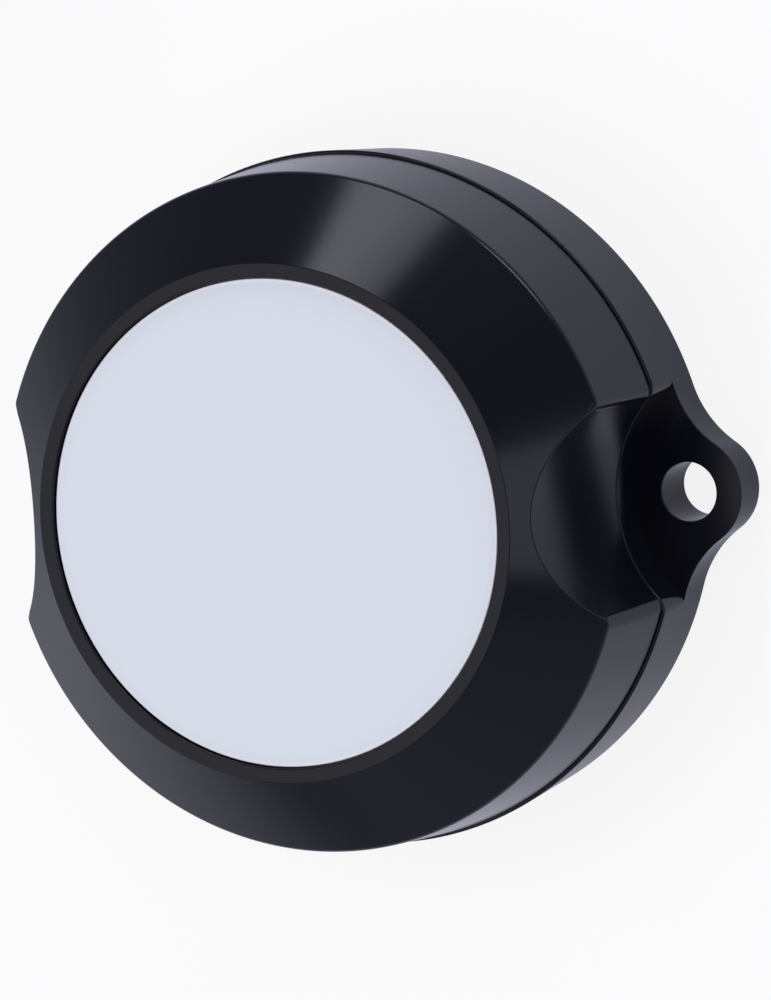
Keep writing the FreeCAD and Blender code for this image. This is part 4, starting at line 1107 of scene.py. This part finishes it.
    def build(self) -> bpy.types.Object:
        """Builds the base as one closed surface.

        Returns:
            The object.
        """
        skin = Skin("rear_base_skin")
        lines = self.lines
        seam = lines.seam_height
        lower, upper = self.lower_band(), self.upper_band()
        ear_columns = self.ear_outline(np.zeros((1, 1)))[0].shape[1]
        foot = lower.points[:ear_columns, :2]
        ear_top = lower.points[-ear_columns:, :2]
        upper_columns = self.pocket_outline(np.zeros((1, 1)))[0].shape[1]
        pocket = upper.points[:upper_columns, :2]
        rim = upper.points[-upper_columns:, :2]
        skin.add_quarter(lower, upper)
        half = np.linspace(0, math.pi, 33)
        lead = 0.6
        hole_rows = profile([Turn(self.hole_radius + lead, 0.0),
                             Turn(self.hole_radius, 0.0, self.edge),
                             Turn(self.hole_radius, self.ear_thickness, self.edge),
                             Turn(self.hole_radius + lead, self.ear_thickness)])[1:-1]
        hole_rows[:, 2:] *= -1.0
        skin.add_quarter(lathe(hole_rows, half, self.ear_place))
        ring = polar(half, hole_rows[0, 0]) + (self.ear_place, 0.0)
        skin.add_quarter(flat([np.concatenate(
            [ear_top[self.columns:], ring, pocket[self.columns + 1:][::-1]])],
            self.ear_thickness, True))
        screw = circle(self.counterbore_radius + self.counterbore_edge, lines.screw_place,
                       lines.screw_place)
        skin.add_quarter(flat([np.concatenate([foot, ring, np.zeros((1, 2))]), screw],
                              0.0, False))
        angles = np.append(np.arange(32) / 32 * math.tau, 0.0)
        bore = profile([Turn(self.counterbore_radius + lead, 0.0),
                        Turn(self.counterbore_radius, 0.0, self.counterbore_edge),
                        Turn(self.counterbore_radius, self.counterbore_depth),
                        Turn(self.bore_radius, self.counterbore_depth),
                        Turn(self.bore_radius, seam)])[1:]
        bore[:, 2:] *= -1.0
        skin.add_quarter(lathe(bore, angles, lines.screw_place, lines.screw_place))
        turn = QUARTER * (1 - np.linspace(0, 1, self.columns + 1))
        collar = polar(turn, self.collar_radius)
        through = circle(self.bore_radius, lines.screw_place, lines.screw_place)
        cores = lines.core_paths(lines.lip_radius - self.wall_thickness)
        floors = lines.core_paths(self.wall_radius(self.floor) - self.wall_thickness)
        skin.add_quarter(flat([np.concatenate([rim, collar[::-1]]), through, cores[0][:-1],
                               cores[1]], seam, True))
        for core, ground in zip(cores, floors):
            level = np.full(len(ground), self.floor)
            skin.add_quarter(*cored(core, ground, seam, level, True))
        inside = profile([Turn(self.collar_radius, seam),
                          Turn(self.collar_radius, self.groove_foot),
                          Turn(self.groove_radius, self.groove_foot),
                          Turn(self.groove_radius, self.groove_top),
                          Turn(self.collar_radius, self.groove_top),
                          Turn(self.collar_radius, self.collar_top, self.collar_edge),
                          Turn(self.chamber_radius, self.collar_top, self.collar_edge),
                          Turn(self.chamber_radius, self.floor),
                          Turn(self.cradle_outer, self.floor),
                          Turn(self.cradle_outer, self.cradle_top, self.cradle_edge),
                          Turn(self.cradle_inner, self.cradle_top, self.cradle_edge),
                          Turn(self.cradle_inner, self.floor), Turn(0.0, self.floor)])
        skin.add_quarter(lathe(inside, turn))
        post_top = self.collar_top - self.post_gap
        post = profile([Turn(0.0, self.floor - self.sink),
                        Turn(self.post_radius, self.floor - self.sink),
                        Turn(self.post_radius, post_top, self.post_edge),
                        Turn(self.post_pilot_radius, post_top, self.post_edge / 2),
                        Turn(self.post_pilot_radius, self.post_pilot_foot),
                        Turn(0.0, self.post_pilot_foot)], 3)
        for number in range(3):
            angle = QUARTER + number * math.tau / 3
            skin.add(lathe(post, angles, self.post_circle * math.cos(angle),
                           self.post_circle * math.sin(angle)))
        return skin.build()


@dataclass
class HousingScrews:
    """Four screws with a low pan head and a six-lobed recess, sunk in the back."""

    lines: HousingLines
    head_radius: float = 1.9
    head_flat: float = 1.6
    head_foot: float = 1.2
    seat: float = 2.6
    shank_radius: float = 0.83
    shank_end: float = 14.0
    recess_radius: float = 0.82
    recess_wave: float = 0.13
    recess_depth: float = 0.75

    def build(self) -> bpy.types.Object:
        """Builds the screws as one piece.

        The recess has the radius r + w cos 6a, and the head and shank are one profile
        carried round the screw's axis.

        Returns:
            The object.
        """
        skin = Skin("housing_screw_set")
        place = self.lines.screw_place
        turn = np.linspace(0, math.tau, 49)
        size = self.recess_radius + self.recess_wave * np.cos(6 * turn)
        star = polar(turn, size) + (place, place)
        star[-1] = star[0]
        rows = profile([Turn(self.head_flat, self.head_foot),
                        Turn(self.head_radius, self.head_foot, 0.22),
                        Turn(self.head_radius, self.seat, 0.05),
                        Turn(self.shank_radius, self.seat),
                        Turn(self.shank_radius, self.shank_end, 0.3),
                        Turn(0.0, self.shank_end)], 4)
        turn = np.append(turn[:-1], 0.0)
        rim = circle(self.head_flat, place, place, 48)
        top = self.head_foot + self.recess_depth
        skin.add_quarter(lathe(rows, turn, place, place),
                         flat([rim, star[:-1]], self.head_foot, False),
                         walls(raised(star, self.head_foot), raised(star, top), True),
                         flat([star[:-1]], top, False))
        return skin.build()


@dataclass
class Label:
    """Round film in the recess of the front, left bare."""

    radius: float = 17.95
    bottom: float = 21.7
    top: float = 21.95
    edge: float = 0.08

    def build(self) -> bpy.types.Object:
        """Builds the disc: a profile round the axis, its upper edge softened.

        Returns:
            The object.
        """
        skin = Skin("label_film_disc")
        rows = profile([Turn(0.0, self.bottom), Turn(self.radius, self.bottom),
                        Turn(self.radius, self.top, self.edge), Turn(0.0, self.top)])
        skin.add(lathe(rows, np.linspace(0, math.tau, 193)))
        return skin.build()


# Studio


@dataclass(frozen=True)
class SoftBox:
    """One studio lamp, placed by the direction in which the puck sees it."""

    name: str
    azimuth: float
    elevation: float
    distance_mm: float
    width_mm: float
    height_mm: float
    radiance: float
    tint: str = "#ffffff"

    def hang(self, target: Vector) -> None:
        """Adds the lamp, turned to the target.

        Its power is the radiance times its area times pi, the area lamp's own relation.

        Args:
            target: the place that it faces.
        """
        lamp = bpy.data.lights.new(self.name, "AREA")
        lamp.shape = "RECTANGLE"
        lamp.size, lamp.size_y = self.width_mm * MM, self.height_mm * MM
        lamp.energy = self.radiance * math.pi * lamp.size * lamp.size_y
        lamp.color = linear(self.tint)[:3]
        item = add_object(self.name, lamp)
        around, above = math.radians(self.azimuth), math.radians(self.elevation)
        direction = Vector((math.cos(above) * math.cos(around),
                            math.cos(above) * math.sin(around), math.sin(above)))
        item.location = target + direction * (self.distance_mm * MM)
        item.rotation_mode = "QUATERNION"
        item.rotation_quaternion = direction.to_track_quat("Z", "Y")


@dataclass
class Studio:
    """White floor, soft lamps and the camera at the photograph's angle."""

    camera_place: tuple[float, float, float] = (393.891, 107.378, 794.459)
    camera_axis: tuple[float, float, float] = (3.187, -0.044, -0.744)
    lens: float = 432.0
    floor_size_mm: float = 6000.0
    sheet_middle_mm: tuple[float, float, float] = (85.0, -50.0, 0.0)
    sheet_radius_mm: float = 128.0
    table_ratio: float = 1.5
    sheet_shade: str = "#f2f2f5"
    # Painted reflection tint: the bluish colour of the sheet's glow as the puck mirrors it.
    sheet_painted_reflection_tint: str = "#e8e8ff"
    table_shade: str = "#8e8e9c"
    room_shade: str = "#d6d3e6"
    floor_glow: float = 0.85
    mirror_glow: float = 0.6
    room_light: float = 0.42

    def set_camera(self) -> None:
        """Adds the camera.

        The axis is the turn from the puck to a camera that looks along +z with y down,
        its length the angle. Blender's camera is that, turned back and half round its x.
        """
        turn = Vector(self.camera_axis)
        view = Matrix.Rotation(turn.length, 3, turn.normalized()).transposed()
        view = view @ Matrix.Diagonal((1.0, -1.0, -1.0))
        camera = bpy.data.cameras.new("camera")
        camera.sensor_width = 36.0
        camera.lens = self.lens
        camera.clip_start, camera.clip_end = 0.05, 20.0
        item = add_object("camera", camera)
        item.matrix_world = Matrix.Translation(Vector(self.camera_place) * MM) @ view.to_4x4()
        bpy.context.scene.camera = item

    def lay_floor(self) -> None:
        """Adds the floor: a white matt sheet that fades into a grey table.

        It shows as white but keeps soft shadows. Its mirror image in the puck shows more of
        the shadows and the table, and on the sheet a painted cool tint: a bluish glow that only
        glossy and transmission rays see, while the sheet itself is near neutral.
        """
        half = self.floor_size_mm * MM / 2
        corners = np.array([(-half, -half, 0), (half, -half, 0), (half, half, 0),
                            (-half, half, 0)]) - (0, 0, 0.02 * MM)
        mesh = bpy.data.meshes.new("studio_floor")
        mesh.from_pydata(corners, [], [(0, 1, 2, 3)])
        material = bpy.data.materials.new("paper_coated_white")
        tree = clear_tree(material)
        path = add_node(tree, "LightPath")
        mirror = add_node(tree, "Math", {"operation": "ADD", "use_clamp": True},
                          {0: path.outputs["Is Glossy Ray"],
                           1: path.outputs["Is Transmission Ray"]})
        mirror = add_node(tree, "Math", {"operation": "MULTIPLY", 1: self.mirror_glow},
                          {0: mirror.outputs[0]})
        share = add_node(tree, "Math",
                         {"operation": "MULTIPLY_ADD", 1: self.floor_glow},
                         {0: path.outputs["Is Camera Ray"], 2: mirror.outputs[0]})
        place = add_node(tree, "TexCoord").outputs["Object"]
        middle = np.array(self.sheet_middle_mm) * MM
        away = add_node(tree, "VectorMath", {"operation": "DISTANCE", 1: middle},
                        {0: place})
        table = add_node(tree, "MapRange",
                         {"From Min": self.sheet_radius_mm * MM,
                          "From Max": self.sheet_radius_mm * self.table_ratio * MM},
                         {"Value": away.outputs["Value"]}).outputs["Result"]
        paper = mix_colours(tree, table, self.sheet_shade, self.table_shade)
        matt = add_node(tree, "BsdfDiffuse", None, {"Color": paper})
        # Painted reflection tint: the sheet's glow, as the puck mirrors it, is bluish, though the
        # sheet's own colour is near neutral.
        image = mix_colours(tree, table, self.sheet_painted_reflection_tint, self.table_shade)
        tone = add_node(tree, "Mix", {"data_type": "RGBA", 7: linear("#ffffff")},
                        {0: path.outputs["Is Camera Ray"], 6: image})
        glow = add_node(tree, "Emission", {"Strength": 1.0},
                        {"Color": tone.outputs[2]})
        mixed = add_node(tree, "MixShader", None,
                         {0: share.outputs[0], 1: matt.outputs[0], 2: glow.outputs[0]})
        add_node(tree, "OutputMaterial", None, {"Surface": mixed.outputs[0]})
        item = add_object("studio_floor", mesh)
        dress(item, material)

    def set_world(self) -> None:
        """Sets a dim, slightly cool room."""
        world = bpy.data.worlds.new("room")
        tree = clear_tree(world)
        room = add_node(tree, "Background",
                        {"Color": linear(self.room_shade), "Strength": self.room_light})
        add_node(tree, "OutputWorld", None, {"Surface": room.outputs[0]})
        bpy.context.scene.world = world

    def light(self) -> None:
        """Hangs the lamps."""
        target = Vector((0.0, 0.0, 0.012))
        boxes = [
            SoftBox("key_box", 197.0, 57.0, 1000.0, 1300.0, 1300.0, 1.3, "#fafaff"),
            SoftBox("back_box", 50.0, 66.0, 900.0, 700.0, 600.0, 0.9, "#fffdf4"),
            SoftBox("edge_box", 91.0, 12.0, 900.0, 360.0, 260.0, 6.8, "#f2f2ff"),
            SoftBox("strip_box", 58.0, 5.5, 900.0, 320.0, 170.0, 12.0, "#f2f2ff"),
            SoftBox("side_box", -4.0, 30.0, 900.0, 560.0, 300.0, 2.1, "#eeeeff"),
            SoftBox("fill_box", -75.0, 14.0, 900.0, 1600.0, 480.0, 0.42, "#e8e6ff"),
        ]
        for box in boxes:
            box.hang(target)
            report.info("%s hung", box.name)

    def build(self) -> None:
        """Sets up camera, floor, room and lamps."""
        self.set_camera()
        self.lay_floor()
        self.set_world()
        self.light()
        bpy.context.scene.view_settings.view_transform = "Standard"


# The solids inside keep their meshes


@dataclass
class Inside:
    """Everything under the housing: seal, screws, board, cell and the parts on the board."""

    def dress_all(self) -> dict[Enum, bpy.types.Material]:
        """Gives each solid that keeps its mesh the finish of its real material.

        Returns:
            The materials by finish.
        """
        finishes = {
            "seal_ring": Insulator.RUBBER, "circuit_board": Insulator.LAMINATE,
            "insulator_disc": Insulator.AMBER, "foam_pad": Insulator.FOAM,
            "cell_gasket": Insulator.NYLON, "radio_chip": Insulator.RESIN,
            "guard_transistor": Insulator.RESIN, "chip_antenna": Insulator.ANTENNA,
            "matching_inductors": Insulator.INDUCTOR,
            "decoupling_capacitors": Insulator.CAPACITOR, "resistors": Insulator.RESISTOR,
            "board_screws": Metal.SCREW,
            "cell_can": Metal.CELL, "cell_cap": Metal.CELL,
            "tab_positive": Metal.TAB, "tab_negative": Metal.TAB,
            "crystal_main": Metal.LID, "crystal_slow": Metal.LID,
            "tank_capacitor": Metal.CAN, "reed_leads": Metal.LEAD,
        }
        made: dict[Enum, bpy.types.Material] = {}
        for node, kind in finishes.items():
            if kind not in made:
                made[kind] = kind.finish().material()
            dress(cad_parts[node], made[kind])
            report.info("%s dressed as %s", node, made[kind].name)
        dress(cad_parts["reed_glass"], TubeGlass().material())
        return made


def main() -> None:
    """Builds and dresses every piece, then sets up the studio."""
    logging.basicConfig(level=logging.INFO, format="%(name)s: %(message)s")
    lines = HousingLines()
    plastic, film = MouldedPlastic().material(), PrintedFilm().material()
    steel = Inside().dress_all()[Metal.SCREW]
    Studio().build()
    pieces = [(FrontShell(lines), "front_shell", Slot.HOUSING, plastic),
              (RearBase(lines), "rear_base", Slot.HOUSING, plastic),
              (Label(), "label_disc", Slot.LABEL, film),
              (HousingScrews(lines), "housing_screws", Slot.SCREW, steel)]
    for maker, node, slot, material in pieces:
        item = maker.build()
        dress(item, material)
        place_piece(item, node)


if __name__ == "__main__":
    main()
